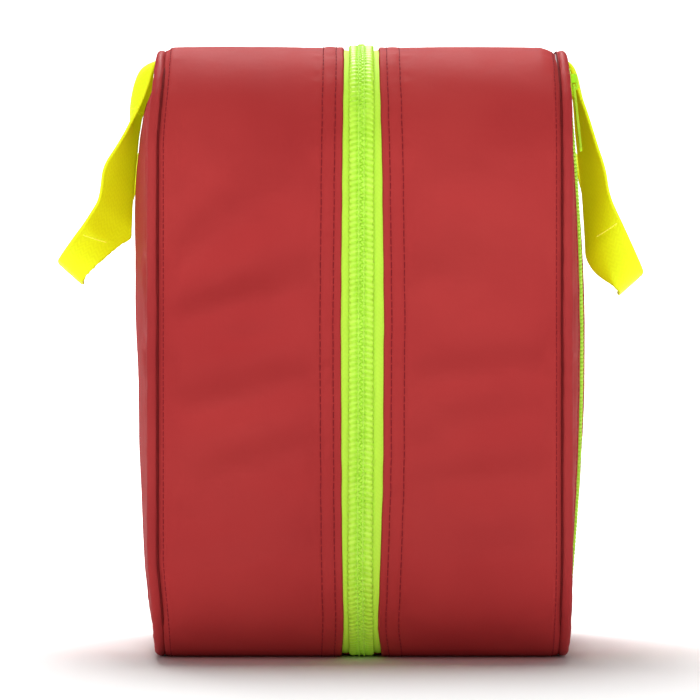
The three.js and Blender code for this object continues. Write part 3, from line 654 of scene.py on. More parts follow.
# ---------------------------------------------------------------- zippers
def coil_half(name, at, marks, sign, c, body, replaces, slot):
    """One half of a coil zipper. at(s) gives points on the line down its
    middle, the direction along it, outwards and across."""
    yy, drop, ra, rb, shift = (np.array(c[k], float) for k in ("across", "drop", "ra", "rb", "shift"))
    K, m = len(marks), len(yy)
    S = marks[:, None] + shift[None]
    O, T, N, B = at(S.ravel())
    O, T, N, B = (q.reshape(K, m, 3) for q in (O, T, N, B))
    up = c["up"](S.ravel()).reshape(K, m)
    P = O + B * (sign * yy)[None, :, None] - N * (up + rb[None] + drop[None])[..., None]
    t = np.gradient(P, axis=1)
    t /= np.linalg.norm(t, axis=-1, keepdims=True)
    ax = T - (T * t).sum(-1, keepdims=True) * t
    ax /= np.linalg.norm(ax, axis=-1, keepdims=True)
    ay = np.cross(t, ax)
    n = 10
    ang = np.arange(n) * 2 * np.pi / n
    Q = (P[:, :, None] + ax[:, :, None] * (ra[None, :, None, None] * np.cos(ang)[None, None, :, None])
         + ay[:, :, None] * (rb[None, :, None, None] * np.sin(ang)[None, None, :, None]))
    f = grid_faces(m, n, False, True)
    tips = np.stack([P[:, 0] - t[:, 0] * rb[0] * 0.5, P[:, -1] + t[:, -1] * rb[-1] * 0.5], 1)
    allv = np.concatenate([Q.reshape(K, m * n, 3), tips], 1)
    j = np.arange(n)
    c0 = np.stack([(j + 1) % n, j, np.full(n, m * n)], -1)
    c1 = np.stack([j + (m - 1) * n, (j + 1) % n + (m - 1) * n, np.full(n, m * n + 1)], -1)
    tri = np.vstack([f[:, [0, 1, 2]], f[:, [0, 2, 3]], c0, c1])
    if sign > 0:
        tri = tri[:, ::-1]
    tri = (tri[None] + (np.arange(K) * (m * n + 2))[:, None, None]).reshape(-1, 3)
    make(f"{name}_turns", allv.reshape(-1, 3), tri, M_COIL, body, replaces=replaces, slot=slot)
    # the sewing threads over the turns, and what fills the chain under them
    pitch = c["pitch"]
    sc = np.arange(marks[0] - pitch * 0.6, marks[-1] + pitch * 0.6, pitch / 8)
    O, T, N, B = at(sc)
    ups = c["up"](sc)
    ph = 2 * np.pi * (sc - marks[0]) / pitch
    rows = []
    for yt in c["threads"]:
        rows.append(O + B * (sign * (yt + c["sway"] * np.sin(ph)))[:, None]
                    - N * (ups + c["dip"] * (0.5 - 0.5 * np.cos(ph)) - 0.06)[:, None])
    tubes(f"{name}_thread", np.stack(rows), c["thread_r"], M_LTHREAD, body, sides=6)
    sc = sc[:: 4]
    O, T, N, B = at(sc)
    ups = c["up"](sc)
    sec = c["core"]
    P = np.stack([O + B * (sign * a) - N * (ups + b)[:, None] for a, b in sec], 1)
    skin(f"{name}_core", P, M_DGROOVE, body, False, True, flip=sign > 0, caps=True)


def proud(s):
    return np.clip((outline(s)[1] - 2) / 40, 0, 1)


def wander(s):
    """How far the closed chain strays sideways, in mm."""
    x, z, nx, nz = outline(s)
    left = np.interp(z, [15, 27, 83, 150, 268], [1.0, 0.95, 0.6, 0.34, 0.2])
    top = np.interp(x, [-70, -15, 45, 70], [0.2, 0, 0, 0.3])
    right = 0.3 * np.cos(z / 55.0)
    return left * np.clip(-nx, 0, 1) ** 2 + top * np.clip(nz, 0, 1) ** 2 + right * np.clip(nx, 0, 1) ** 2


def main_line(s):
    x, z, nx, nz = outline(s)
    O = np.stack([x, wander(s), z], -1)
    N = np.stack([nx, 0 * nx, nz], -1)
    T = np.stack([-nz, 0 * nx, nx], -1) * -1.0
    B = np.broadcast_to(np.array([0, 1.0, 0]), O.shape)
    return O, T, N, B


MAIN_COIL = dict(
    pitch=2.5,
    up=lambda s: 0.15 - 1.15 * proud(s),
    across=[4.75, 4.95, 4.7, 4.0, 3.3, 2.6, 2.05, 1.75, 1.4, 0.95, 0.5, 0.1, -0.2, -0.3, -0.15],
    drop=[0.95, 0.55, 0.2, 0.04, 0.0, 0.05, 0.2, 0.34, 0.34, 0.28, 0.3, 0.38, 0.55, 0.8, 1.05],
    ra=[0.75, 0.95, 1.12, 1.18, 1.18, 1.15, 1.05, 0.9, 0.98, 1.05, 0.88, 0.68, 0.6, 0.55, 0.5],
    rb=[0.45, 0.55, 0.6, 0.62, 0.62, 0.6, 0.5, 0.42, 0.42, 0.42, 0.42, 0.45, 0.45, 0.45, 0.4],
    shift=[-0.95, -0.9, -0.7, -0.4, -0.15, 0.05, 0.2, 0.25, 0.25, 0.22, 0.15, 0.12, 0.12, 0.12, 0.12],
    threads=[1.15], sway=0.12, dip=0.14, thread_r=0.3,
    core=[(0.1, 1.0), (0.5, 0.8), (0.9, 0.6), (1.3, 0.6), (1.75, 0.75), (2.2, 0.26), (3.4, 0.14), (4.4, 0.26), (4.85, 0.7), (4.85, 1.35), (0.1, 1.35)],
)
ZS = np.linspace(60, LENGTH - 60, 460)
for side, name in ((1, "rear"), (-1, "front")):
    prof_y = np.array([0.75, 1.5, 2.5, 4, 5.0, 5.6, 6.4, 7.4, 9, 12, 15.3, 15.3, 12, 8, 4, 0.75])
    prof_o = np.array([1.75, 1.6, 1.6, 1.6, 1.6, 1.55, 1.3, 1.25, 1.4, 1.5, 1.6, 2.2, 2.25, 2.25, 2.25, 2.2])
    x, z, _, _ = outline(ZS[:, None] + 0 * prof_y[None], prof_o[None] + 0 * ZS[:, None])
    P = np.stack([x, side * np.broadcast_to(prof_y, x.shape) + wander(ZS)[:, None], z], -1)
    skin(f"{name}_zip_weave", P, M_TAPE, f"{name}_shell", False, True, V=np.r_[prof_y, 30.0], flip=side > 0,
         caps=True, replaces=(f"{name}_zip_tape",), slot="zip_lime")
    k = np.arange(int((LENGTH - 124) / 2.5))
    sk = 62 + 2.5 * (k + (0.5 if side > 0 else 0.0))
    coil_half(f"{name}_coil", main_line, sk, side, MAIN_COIL, f"{name}_shell", (f"{name}_zip_coil",), "zip_lime")

# ---------------------------------------------------------------- face crowns
REAR_Z = np.array([5.3, 14, 24, 38, 56, 75, 94, 112, 135, 157, 180, 200, 216, 230, 242, 250, 257, 262.7])
REAR_H = np.array([0, 3.4, 5.8, 7.9, 9.4, 10.6, 11.8, 12.6, 13.1, 13.3, 13.4, 13.0, 12.2, 10.6, 8.0, 5.6, 2.9, 0])


def across(x):
    return 1 - np.clip(np.abs(x) / (W / 2 - FACE_OFF), 0, 1) ** 2.5


def rear_face(x, z):
    return RIM_Y + np.interp(z, REAR_Z, REAR_H) * across(x)


def pocket_arc(z):
    return ARC_Y - ARC_R + np.sqrt(ARC_R**2 - (z - ARC_Z) ** 2)


def front_face(x, z):
    a = pocket_arc(z) - RIM_Y
    a = 0.5 * (a + np.sqrt(a * a + 0.35))
    return RIM_Y + a * across(x) / across(POCKET_X)


def seam_distance(x, z, off=FACE_OFF):
    """Distance inwards from the outline that is inset by off."""
    qx = np.abs(x) - HX
    qz = np.abs(z - H / 2) - HZ
    d = np.hypot(np.maximum(qx, 0), np.maximum(qz, 0)) + np.minimum(np.maximum(qx, qz), 0) - (R - off)
    return -d


def half_width(z, off):
    r = R - off
    q = np.maximum(np.abs(z - H / 2) - HZ, 0)
    return HX + np.sqrt(np.maximum(r * r - q * q, 0))


def row_sheet(name, off, outer, inner, side, mat, body, lo=None, hi=None, nz=150, nx=130, flip=False, **kw):
    """A closed sheet over the outline inset by off, made of rows across it.
    lo and hi limit its rows to the left and right."""
    z0, z1 = off, H - off
    z = np.unique(np.r_[z0 + np.geomspace(0.02, 14, 16) - 0.02, np.linspace(z0 + 14, z1 - 14, nz), z1 - np.geomspace(0.02, 14, 16) + 0.02])
    hw = half_width(z, off)
    xl = -hw if lo is None else np.maximum(-hw, lo(z))
    xr = hw if hi is None else np.minimum(hw, hi(z))
    keep = xr - xl > 0.4
    z, xl, xr = z[keep], xl[keep], xr[keep]
    w = (xr - xl)[:, None]
    c = np.linspace(0, 1, nx)
    c = c - 0.13 * np.sin(2 * np.pi * c) / 1.0 * 0.9
    X = xl[:, None] + w * c[None]
    Z = np.broadcast_to(z[:, None], X.shape)
    Yo, Yi = outer(X, Z), inner(X, Z)
    P = np.concatenate([np.stack([X, side * Yo, Z], -1), np.stack([X, side * Yi, Z], -1)[:, ::-1]], 1)
    ob = skin(name, P, mat, body, False, True, flip=flip, caps=True, **kw)
    planar_uv(ob)
    return ob


def planar_uv(ob, axes=(0, 2)):
    me = ob.data
    co = np.empty(len(me.vertices) * 3, np.float32)
    me.vertices.foreach_get("co", co)
    li = np.empty(len(me.loops), np.int32)
    me.loops.foreach_get("vertex_index", li)
    if not me.uv_layers:
        me.uv_layers.new(name="UVMap")
    me.uv_layers[0].data.foreach_set("uv", np.ascontiguousarray(co.reshape(-1, 3)[li][:, list(axes)]).ravel())


# ---------------------------------------------------------------- cloth
def stuffed(P, lock, pressure=3.0, grow=0.03, frames=22, cap=5.0, stiff=12.0, bend=0.6, closed=False, gravity=0.0):
    """Runs Blender's cloth on the (n, m, 3) sheet P in mm, held where lock is
    true, and returns how far each point moved, at most cap."""
    n, m = P.shape[:2]
    me = bpy.data.meshes.new("cloth_work")
    f = grid_faces(n, m, closed, flip=True)
    me.from_pydata((P.reshape(-1, 3) * MM).tolist(), [], f.tolist())
    ob = bpy.data.objects.new("cloth_work", me)
    bpy.context.scene.collection.objects.link(ob)
    g = ob.vertex_groups.new(name="pin")
    g.add([int(i) for i in np.flatnonzero(lock.ravel())], 1.0, "REPLACE")
    mod = ob.modifiers.new("Cloth", "CLOTH")
    st = mod.settings
    st.quality = 6
    st.mass = 0.25
    st.tension_stiffness = st.compression_stiffness = stiff
    st.shear_stiffness = stiff * 0.6
    st.bending_stiffness = bend
    st.air_damping = 2.0
    st.vertex_group_mass = "pin"
    st.shrink_min = -grow
    st.use_pressure = True
    st.uniform_pressure_force = pressure
    st.effector_weights.gravity = gravity
    mod.collision_settings.use_self_collision = False
    mod.point_cache.frame_start, mod.point_cache.frame_end = 1, frames
    scene = bpy.context.scene
    for k in range(1, frames + 1):
        scene.frame_set(k)
    dg = bpy.context.evaluated_depsgraph_get()
    ev = ob.evaluated_get(dg)
    co = np.empty(len(ev.data.vertices) * 3, np.float32)
    ev.data.vertices.foreach_get("co", co)
    D = co.reshape(n, m, 3) / MM - P
    bpy.data.objects.remove(ob)
    bpy.data.meshes.remove(me)
    scene.frame_set(1)
    D = np.nan_to_num(D)
    L = np.linalg.norm(D, axis=-1, keepdims=True)
    return D * np.minimum(1, cap / np.maximum(L, 1e-6))


def resample(D, u, v, closed=False):
    """Values of the (n, m, k) grid D at fractions u (rows) and v (columns)."""
    n, m = D.shape[:2]
    u = np.asarray(u) * (n if closed else n - 1)
    v = np.clip(np.asarray(v), 0, 1) * (m - 1)
    ui, vi = np.floor(u).astype(int), np.minimum(np.floor(v).astype(int), m - 2)
    fu, fv = (u - ui), (v - vi)
    fu, fv = fu * fu * (3 - 2 * fu), fv * fv * (3 - 2 * fv)
    if closed:
        a, b = ui % n, (ui + 1) % n
    else:
        ui = np.minimum(ui, n - 2)
        a, b = ui, ui + 1
        fu = np.clip(fu, 0, 1)
    fu, fv = fu[..., None], fv[..., None]
    return (D[a, vi] * (1 - fu) + D[b, vi] * fu) * (1 - fv) + (D[a, vi + 1] * (1 - fu) + D[b, vi + 1] * fu) * fv


def crown_cloth(f, grow, pressure, cap, seed, cell=5.0):
    """Simulates the face cloth over the crown f(x, z) and returns a function
    of x and z that gives how far it lifts or sinks, in mm."""
    n, m = int(240 / cell), int(268 / cell)
    x = np.linspace(-W / 2 + FACE_OFF, W / 2 - FACE_OFF, n)
    z = np.linspace(FACE_OFF, H - FACE_OFF, m)
    X, Z = np.meshgrid(x, z, indexing="ij")
    Y = f(X, Z)
    Y = Y + 0.15 * np.random.default_rng(seed).uniform(-1, 1, Y.shape)
    d = seam_distance(X, Z)
    P = np.stack([X, Y, Z], -1)
    D = stuffed(P, d < 4.0, pressure=pressure, grow=grow, cap=cap)
    dy = D[..., 1] * smooth(0.0, 8.0, d)
    broad = dy.copy()
    for _ in range(60):
        q = np.pad(broad, 1, mode="edge")
        broad = (q[2:, 1:-1] + q[:-2, 1:-1] + q[1:-1, 2:] + q[1:-1, :-2] + broad) / 5
    dy = dy - broad

    def lift(px, pz):
        u = (px + W / 2 - FACE_OFF) / (W - 2 * FACE_OFF)
        v = (pz - FACE_OFF) / (H - 2 * FACE_OFF)
        return resample(dy[..., None], np.clip(u, 0, 1), np.clip(v, 0, 1))[..., 0]

    return lift


def face_sheet(name, side, f, thick, wrinkle, mat, body, rings=54, **kw):
    """A crowned closed sheet over the rounded outline, its edge turned into
    the seam."""
    n = 400
    s = np.linspace(0, LENGTH, n, endpoint=False)
    k = np.r_[1.0, 0.997, 0.99, 0.98, np.linspace(0.965, 0.02, rings), 0.0]
    x0, z0, _, _ = outline(s, FACE_OFF)
    mid = H / 2
    X = x0[:, None] * k[None]
    Z = mid + (z0[:, None] - mid) * k[None]
    edge = seam_distance(X, Z)
    tuck = -1.9 * (1 - smooth(0.0, 3.2, edge)) ** 1.5
    Yo = f(X, Z) + tuck + wrinkle(X, Z, s[:, None] + 0 * k[None], edge)
    Yi = np.minimum(f(X, Z) - thick + tuck * 0.5, Yo - 0.5)
    outer = np.stack([X, side * Yo, Z], -1)
    inner = np.stack([X, side * Yi, Z], -1)[:, ::-1]
    P = np.concatenate([outer, inner[:, ::4]], 1)
    ob = skin(name, P, mat, body, True, False, flip=side < 0, **kw)
    planar_uv(ob)
    return ob


rear_lift = crown_cloth(rear_face, 0.022, 2.0, 3.0, 7)


def rear_wrinkle(x, z, s, edge):
    r = 0.55 * vnoise(s / 9.0, 0 * s, 101) * np.exp(-edge / 9.0) * smooth(0, 2.5, edge)
    r += 0.35 * vnoise(s / 4.6, edge / 9, 102) * np.exp(-edge / 5.0) * smooth(0, 2.0, edge)
    r += (0.7 * vnoise((x + 200) / 60.0 + z / 120, z / 40.0, 103) - 0.3) * smooth(4, 34, edge)
    r += 0.25 * vnoise((x * 0.8 + z * 0.6 + 500) / 17.0, (z * 0.8 - x * 0.6) / 55.0, 104) * smooth(4, 24, edge)
    r += np.clip(rear_lift(x, z), -1.6, 1.6)
    r += belly(z, smooth(62, 112, np.abs(x)), 1) * (1 - smooth(2, 34, edge))
    r += 0.04 * vnoise(x / 2.1 + 90, z / 2.3, 105)
    return r


ob = face_sheet("rear_face_cloth", 1, rear_face, 4.0, rear_wrinkle, M_RED, "rear_shell", replaces=("rear_face_panel",), slot="shell_red")

# ---------------------------------------------------------------- front pocket
front_lift = crown_cloth(front_face, 0.018, 1.6, 2.0, 11)
SLOT = 3.4


def slot_left(z):
    t = smooth(19, 25, z) * (1 - smooth(253, 259, z))
    return POCKET_X + 0.12 + (SLOT - 0.12) * t


def slot_right(z):
    t = smooth(19, 25, z) * (1 - smooth(253, 259, z))
    return POCKET_X - 0.12 - (SLOT - 0.12) * t


def pocket_skin(sign):
    """Outer surface of the cloth on one side of the pocket's zipper."""

    def f(x, z):
        edge = seam_distance(x, z)
        e = (x - slot_left(z)) if sign > 0 else (slot_right(z) - x)
        y = front_face(x, z) - 1.9 * (1 - smooth(0.0, 3.2, edge)) ** 1.5
        y = y - 0.7 * (1 - smooth(0.0, 0.9, e)) ** 2 + 0.35 * bump(e, 1.6, 1.0) - 0.3 * bump(e, 2.8, 0.6)
        free = smooth(2.0, 16, edge) * smooth(3.0, 16, e)
        y = y + np.clip(front_lift(x, z), -1.5, 1.6) * free
        y = y + (0.55 * vnoise((x + 300) / 46.0, z / 60.0, 201) + 0.28 * vnoise((x + 0.3 * z) / 16.0 + 40, z / 52.0, 202)) * free
        s = np.arctan2(z - H / 2, x) * 120
        y = y + 0.35 * vnoise(s / 9.0, 0 * s, 203) * np.exp(-edge / 8.0) * smooth(0, 2.5, edge)
        y = y + 0.22 * vnoise(z / 6.0, 0 * z, 204) * np.exp(-e / 5.0) * smooth(0.5, 2.5, e)
        return y + 0.03 * vnoise(x / 2.1 + 90, z / 2.3, 205)

    return f


panel_f, edge_f = pocket_skin(1), pocket_skin(-1)
under = lambda g: (lambda x, z: np.minimum(front_face(x, z) - 1.3, g(x, z) - 0.6))
ob = row_sheet("front_pocket_cloth", FACE_OFF, panel_f, under(panel_f), -1, M_RED, "front_shell",
               lo=slot_left, nx=150, nz=190, flip=True,
               replaces=("front_pocket_panel",), slot="shell_red")
ob = row_sheet("front_pocket_welt", FACE_OFF, edge_f, under(edge_f), -1, M_RED, "front_shell",
               hi=slot_right, nx=40, nz=190, flip=True,
               replaces=("front_pocket_edge",), slot="shell_red")
zz = np.arange(10.0, 258.0, 1.0)
for tag, g, line, e in (("panel", panel_f, slot_left, 2.8), ("welt", edge_f, slot_right, -2.8), ("panel_outer", panel_f, slot_left, 8.5)):
    xx = line(zz) + e
    p = np.stack([xx, -g(xx, zz), zz], -1)
    stitches(f"pocket_stitch_{tag}", p, np.broadcast_to([0, -1.0, 0], p.shape), M_THREAD, "front_shell",
             length=2.5, pitch=3.2, radius=0.22, lift=0.1)


def pocket_line(z):
    y = pocket_arc(z)
    dy = -(z - ARC_Z) / np.sqrt(ARC_R**2 - (z - ARC_Z) ** 2)
    q = np.sqrt(1 + dy * dy)
    O = np.stack([POCKET_X + 0 * z, -y, z], -1)
    T = np.stack([0 * z, -dy / q, 1 / q], -1)
    N = np.stack([0 * z, -1 / q, -dy / q], -1)
    B = np.broadcast_to(np.array([1.0, 0, 0]), O.shape)
    return O, T, N, B


SMALL_COIL = dict(
    pitch=1.7,
    up=lambda s: -1.1 + 0 * s,
    across=[2.75, 2.85, 2.6, 2.1, 1.55, 1.1, 0.84, 0.7, 0.67, 0.67],
    drop=[0.7, 0.4, 0.12, 0.02, 0.0, 0.0, 0.08, 0.25, 0.5, 0.7],
    ra=[0.55, 0.66, 0.73, 0.73, 0.7, 0.62, 0.52, 0.44, 0.4, 0.35],
    rb=[0.35, 0.42, 0.44, 0.42, 0.4, 0.38, 0.38, 0.4, 0.38, 0.3],
    shift=[-0.3, -0.28, -0.2, -0.1, 0, 0.05, 0.08, 0.08, 0.08, 0.08],
    threads=[1.0, 2.0], sway=0.1, dip=0.26, thread_r=0.18,
    core=[(0.1, 0.5), (0.5, 0.32), (1.5, 0.28), (2.4, 0.34), (2.7, 0.6), (2.7, 2.6), (0.1, 2.6)],
)
PZ = np.linspace(22.5, 257, 120)
for sign, tag in ((1, "inner"), (-1, "outer")):
    O, T, N, B = pocket_line(PZ)
    u = np.array([0.4, 1.5, 2.9, 3.4, 4.2, 6, 8.4, 8.4, 6, 3, 0.4])
    h = np.array([1.7, 1.6, 1.6, 1.6, 1.7, 2.0, 2.2, 2.7, 2.7, 2.7, 2.6])
    crown = np.stack([front_face(POCKET_X + sign * a, PZ) - pocket_arc(PZ) if a > 4 else 0 * PZ for a in u], 1)
    P = O[:, None] + B[:, None] * (sign * u)[None, :, None] - N[:, None] * (h[None] - np.minimum(crown, 1.2))[..., None]
    skin(f"pocket_zip_weave_{tag}", P, M_TAPE, "front_shell", False, True, flip=sign < 0, caps=True,
         replaces=(f"pocket_zip_tape_{tag}",), slot="zip_lime")
    k = np.arange(int(233 / 1.7))
    coil_half(f"pocket_coil_{tag}", pocket_line, 23.5 + 1.7 * (k + (0.5 if sign > 0 else 0.0)), sign, SMALL_COIL,
              "front_shell", (f"pocket_zip_coil_{tag}",), "zip_lime")

# ---------------------------------------------------------------- webbing handles
def catmull(P, per):
    """Catmull-Rom through the (n, k) control rows P, per steps a span."""
    P = np.asarray(P, float)
    Q = np.vstack([2 * P[0] - P[1], P, 2 * P[-1] - P[-2]])
    out = []
    for i in range(len(P) - 1):
        a, b, c, d = Q[i : i + 4]
        for t in np.arange(per) / per:
            out.append(0.5 * (2 * b + (c - a) * t + (2 * a - 5 * b + 4 * c - d) * t * t + (3 * b - a - 3 * c + d) * t**3))
    out.append(P[-1])
    return np.array(out)


def even(P, step):
    """Points of the polyline rows P (n, k) at even spacing of the first three values."""
    d = np.r_[0, np.cumsum(np.linalg.norm(np.diff(P[:, :3], axis=0), axis=-1))]
    n = max(3, int(d[-1] / step))
    t = np.linspace(0, d[-1], n)
    return np.stack([np.interp(t, d, P[:, k]) for k in range(P.shape[1])], -1)


# Each station of a leg gives |y| and z of the webbing's near edge, middle and
# far edge, the X of the near edge, and how far it is folded lengthwise.
REAR_LEG = [
    # Ny    Nz     My    Mz     Fy    Fz     Xn   fold
    [86.0, 262.3, 86.0, 262.3, 86.0, 262.3, -61, 0],
    [90.6, 262.0, 91.4, 262.8, 90.8, 262.2, -61, 0],
    [92.6, 258.2, 97.0, 260.2, 93.4, 259.2, -61, 0],
    [94.1, 252.8, 99.9, 255.4, 93.8, 253.0, -61, 0],
    [96.2, 247.0, 101.8, 248.0, 94.6, 247.0, -61, 0],
    [98.7, 241.7, 102.5, 240.8, 95.8, 240.8, -60.6, 0],
    [101.4, 237.0, 102.0, 234.8, 96.8, 234.8, -60.2, 0],
    [104.8, 230.9, 102.4, 229.0, 97.8, 228.3, -59.6, 0],
    [108.8, 224.5, 104.2, 222.1, 99.2, 220.9, -59, 0],
    [112.8, 218.6, 106.5, 215.2, 100.6, 213.2, -58.2, 0],
    [114.8, 213.7, 107.7, 209.2, 101.6, 205.8, -57.2, 0],
    [115.6, 207.8, 108.8, 203.3, 102.8, 199.6, -56, 0],
    [116.9, 201.4, 110.7, 196.8, 103.0, 194.2, -54.6, 0],
    [120.0, 196.0, 113.7, 191.2, 103.2, 188.8, -53, 0],
]
# Past its last row the rear webbing folds along a slanting crease: |y| and z of
# the near edge and of the crease, how far across the crease lies, and X.
REAR_FOLD = [
    [124.1, 190.1, 104.4, 184.2, 1.0, -51],
    [128.0, 185.2, 109.8, 180.4, 0.66, -47.5],
    [131.4, 180.9, 114.6, 176.1, 0.35, -43.5],
    [134.0, 177.8, 119.6, 171.3, 0.1, -39],
    [135.6, 175.9, 123.7, 167.0, 0.0, -35],
    [136.1, 175.1, 124.9, 165.2, 0.0, -31],
    [136.2, 175.0, 125.0, 165.1, 0.0, -27],
]
FRONT_LEG = [
    [86.0, 262.3, 86.0, 262.3, 86.0, 262.3, -61, 0],
    [90.6, 262.0, 91.0, 262.6, 90.8, 262.0, -61, 0],
    [92.6, 259.6, 93.8, 260.6, 92.6, 259.6, -61, 0],
    [94.2, 255.4, 95.6, 256.4, 94.0, 255.2, -61, 0],
    [95.6, 250.6, 96.8, 250.6, 94.8, 250.0, -61, 0],
    [97.4, 245.4, 97.8, 244.6, 95.4, 244.8, -60.6, 0],
    [99.4, 240.2, 98.8, 239.0, 95.8, 239.4, -60.2, 0],
    [101.2, 234.8, 99.8, 233.2, 96.2, 233.0, -59.6, 0],
    [103.0, 229.4, 100.8, 227.4, 96.8, 226.8, -59, 0],
    [104.8, 224.0, 101.8, 221.4, 97.6, 220.2, -58.2, 0],
    [106.8, 218.6, 102.8, 215.2, 98.4, 213.4, -57.2, 0],
    [108.4, 213.0, 103.6, 209.0, 99.2, 206.6, -56, 0],
    [109.4, 207.2, 104.2, 202.8, 99.8, 200.0, -54.6, 0],
    [111.0, 201.4, 104.8, 196.4, 100.2, 193.8, -53.6, 0],
    [113.6, 195.8, 105.6, 189.6, 100.6, 187.4, -52.4, 0],
    [116.6, 190.0, 106.6, 182.6, 100.8, 181.0, -50.4, 0.02],
    [119.8, 183.6, 108.8, 175.4, 101.2, 176.0, -47.2, 0.15],
    [122.6, 177.8, 111.4, 168.4, 105.2, 169.8, -43.5, 0.4],
    [124.8, 173.4, 113.5, 163.4, 112.0, 166.2, -39, 0.8],
    [126.0, 171.0, 114.8, 161.0, 121.6, 168.4, -35, 1.0],
    [126.4, 170.3, 115.2, 160.3, 122.2, 167.9, -31, 1.0],
    [126.5, 170.2, 115.3, 160.2, 122.3, 167.8, -27, 1.0],
]
HALF = WEB_HALF = 14.9
WEB_T = 1.5


def strap_rows(leg, side, folds=()):
    """Dense cross-sections (n, m, 3) of the webbing's middle surface, from
    the left seam over the grip to the right seam."""
    st = []
    for ny, nz, my, mz, fy, fz, xn, fold in leg:
        d1 = min(math.hypot(ny - my, nz - mz), HALF)
        d2 = min(math.hypot(fy - my, fz - mz), HALF)
        xm = xn + math.sqrt(HALF**2 - d1**2)
        dx = math.sqrt(HALF**2 - d2**2)
        xf = xm + dx * (1 - fold) + min(dx, 2.6) * fold
        c = 1.0 if len(folds) else 0.0
        C = [xf, fy, fz] if len(folds) else [xm, my, mz]
        st.append([xn, ny, nz, xm, my, mz, xf, fy, fz, fold, *C, c])
    for k, (ny, nz, cy, cz, c, xn) in enumerate(folds):
        L = (1 + c) * HALF
        xc = xn + math.sqrt(max(L * L - (ny - cy) ** 2 - (nz - cz) ** 2, 0))
        Np, Cp = np.array([xn, ny, nz]), np.array([xc, cy, cz])
        path = np.array([0.25, 0.6, -0.76]) if k < 3 else (np.array([0.7, 0.45, -0.55]) if k < 5 else np.array([1.0, 0, 0]))
        back = np.cross(path, Np - Cp)
        back /= np.linalg.norm(back)
        Fp = Cp + (Np - Cp) * (1 - c) / (1 + c) + back * 2.0 * (1 - c) ** 0.5
        M = Cp if c < 1 else 0.5 * (Np + Cp) + np.array([0, 1.6, -2.0])
        st.append([*Np, *M, *Fp, min(1.0, k * 1.0), *Cp, c])
    st = np.array(st)
    # across the grip: the same section carried to the middle
    last = st[-1].copy()
    grip = []
    for x in (-18.0, -9.0, 0.0):
        row = last.copy()
        sag = -0.9 * (1 - (x / 27.6) ** 2)
        for k in (0, 3, 6, 10):
            row[k] = x + (last[k] - last[0]) * abs(x) / 40.0
        for k in (2, 5, 8, 12):
            row[k] += sag
        for k in (1, 4, 7, 11):
            row[k] -= 0.5 * sag
        grip.append(row)
    half = np.vstack([st, grip])
    mirror = half[:-1][::-1].copy()
    mirror[:, [0, 3, 6, 10]] *= -1
    rows = catmull(np.vstack([half, mirror]), 7)
    v = np.linspace(-1, 1, 61)
    N, M, F, C = rows[:, None, 0:3], rows[:, None, 3:6], rows[:, None, 6:9], rows[:, None, 10:13]
    fold = np.clip(rows[:, 9], 0, 1)[:, None, None]
    c = np.clip(rows[:, 13], 0, 1)[:, None, None]
    a = v[None, :, None]
    arc = N * (a * (a - 1) / 2) + M * (1 - a * a) + F * (a * (a + 1) / 2)
    flat = np.where(a <= c, N + (C - N) * (a + 1) / (1 + c), C + (F - C) * (a - c) / (1 - c + 1e-6))
    P = arc * (1 - fold) + flat * fold
    # round the crease off
    for _ in range(7):
        P[:, 1:-1] = 0.25 * P[:, :-2] + 0.5 * P[:, 1:-1] + 0.25 * P[:, 2:]
    for _ in range(3):
        P[1:-1] = 0.25 * P[:-2] + 0.5 * P[1:-1] + 0.25 * P[2:]
    # the far leg hangs a little further out below, and lies closer above
    low = smooth(-22, 42, P[..., 0]) * (1 - smooth(196, 234, P[..., 2]))
    P[..., 1] += 4.0 * low
    P[..., 2] += 1.7 * low
    x, y, z = P[..., 0], P[..., 1], P[..., 2]
    if side > 0:
        face = rear_face(x, z) + rear_wrinkle(x, z, np.arctan2(z - H / 2, x) * 120, seam_distance(x, z))
    else:
        face = panel_f(x, z)
    need = face + WEB_T / 2 + 0.35
    hug = smooth(214, 230, z) * smooth(10, 30, x) * (1 - smooth(256, 260, z))
    y = y - hug * 0.5 * np.clip(y - need, 0, 12)
    over = (y - need) / 0.5
    soft = need + 0.5 * np.logaddexp(0, np.clip(over, -40, 40))
    P[..., 1] = np.where((y > 90.5) & (z < 259), np.where(over < 30, soft, y), y)
    P[..., 1] *= side
    return P


def strap_shell(P, thick):
    """A closed section (n, 2m, 3) round the middle surface P."""
    du = np.gradient(P, axis=0)
    dv = np.gradient(P, axis=1)
    n = np.cross(du, dv)
    n /= np.linalg.norm(n, axis=-1, keepdims=True) + 1e-12
    m = P.shape[1]
    c = np.linspace(-1, 1, m)
    t = thick / 2 * (1 - 0.55 * np.clip((np.abs(c) - 0.93) / 0.07, 0, 1) ** 2)
    t = t * (1 - 0.10 * bump(np.abs(c), 0.86, 0.05))
    top, bot = P + n * t[None, :, None], P - n * t[None, :, None]
    return np.concatenate([top, bot[:, ::-1]], 1), n


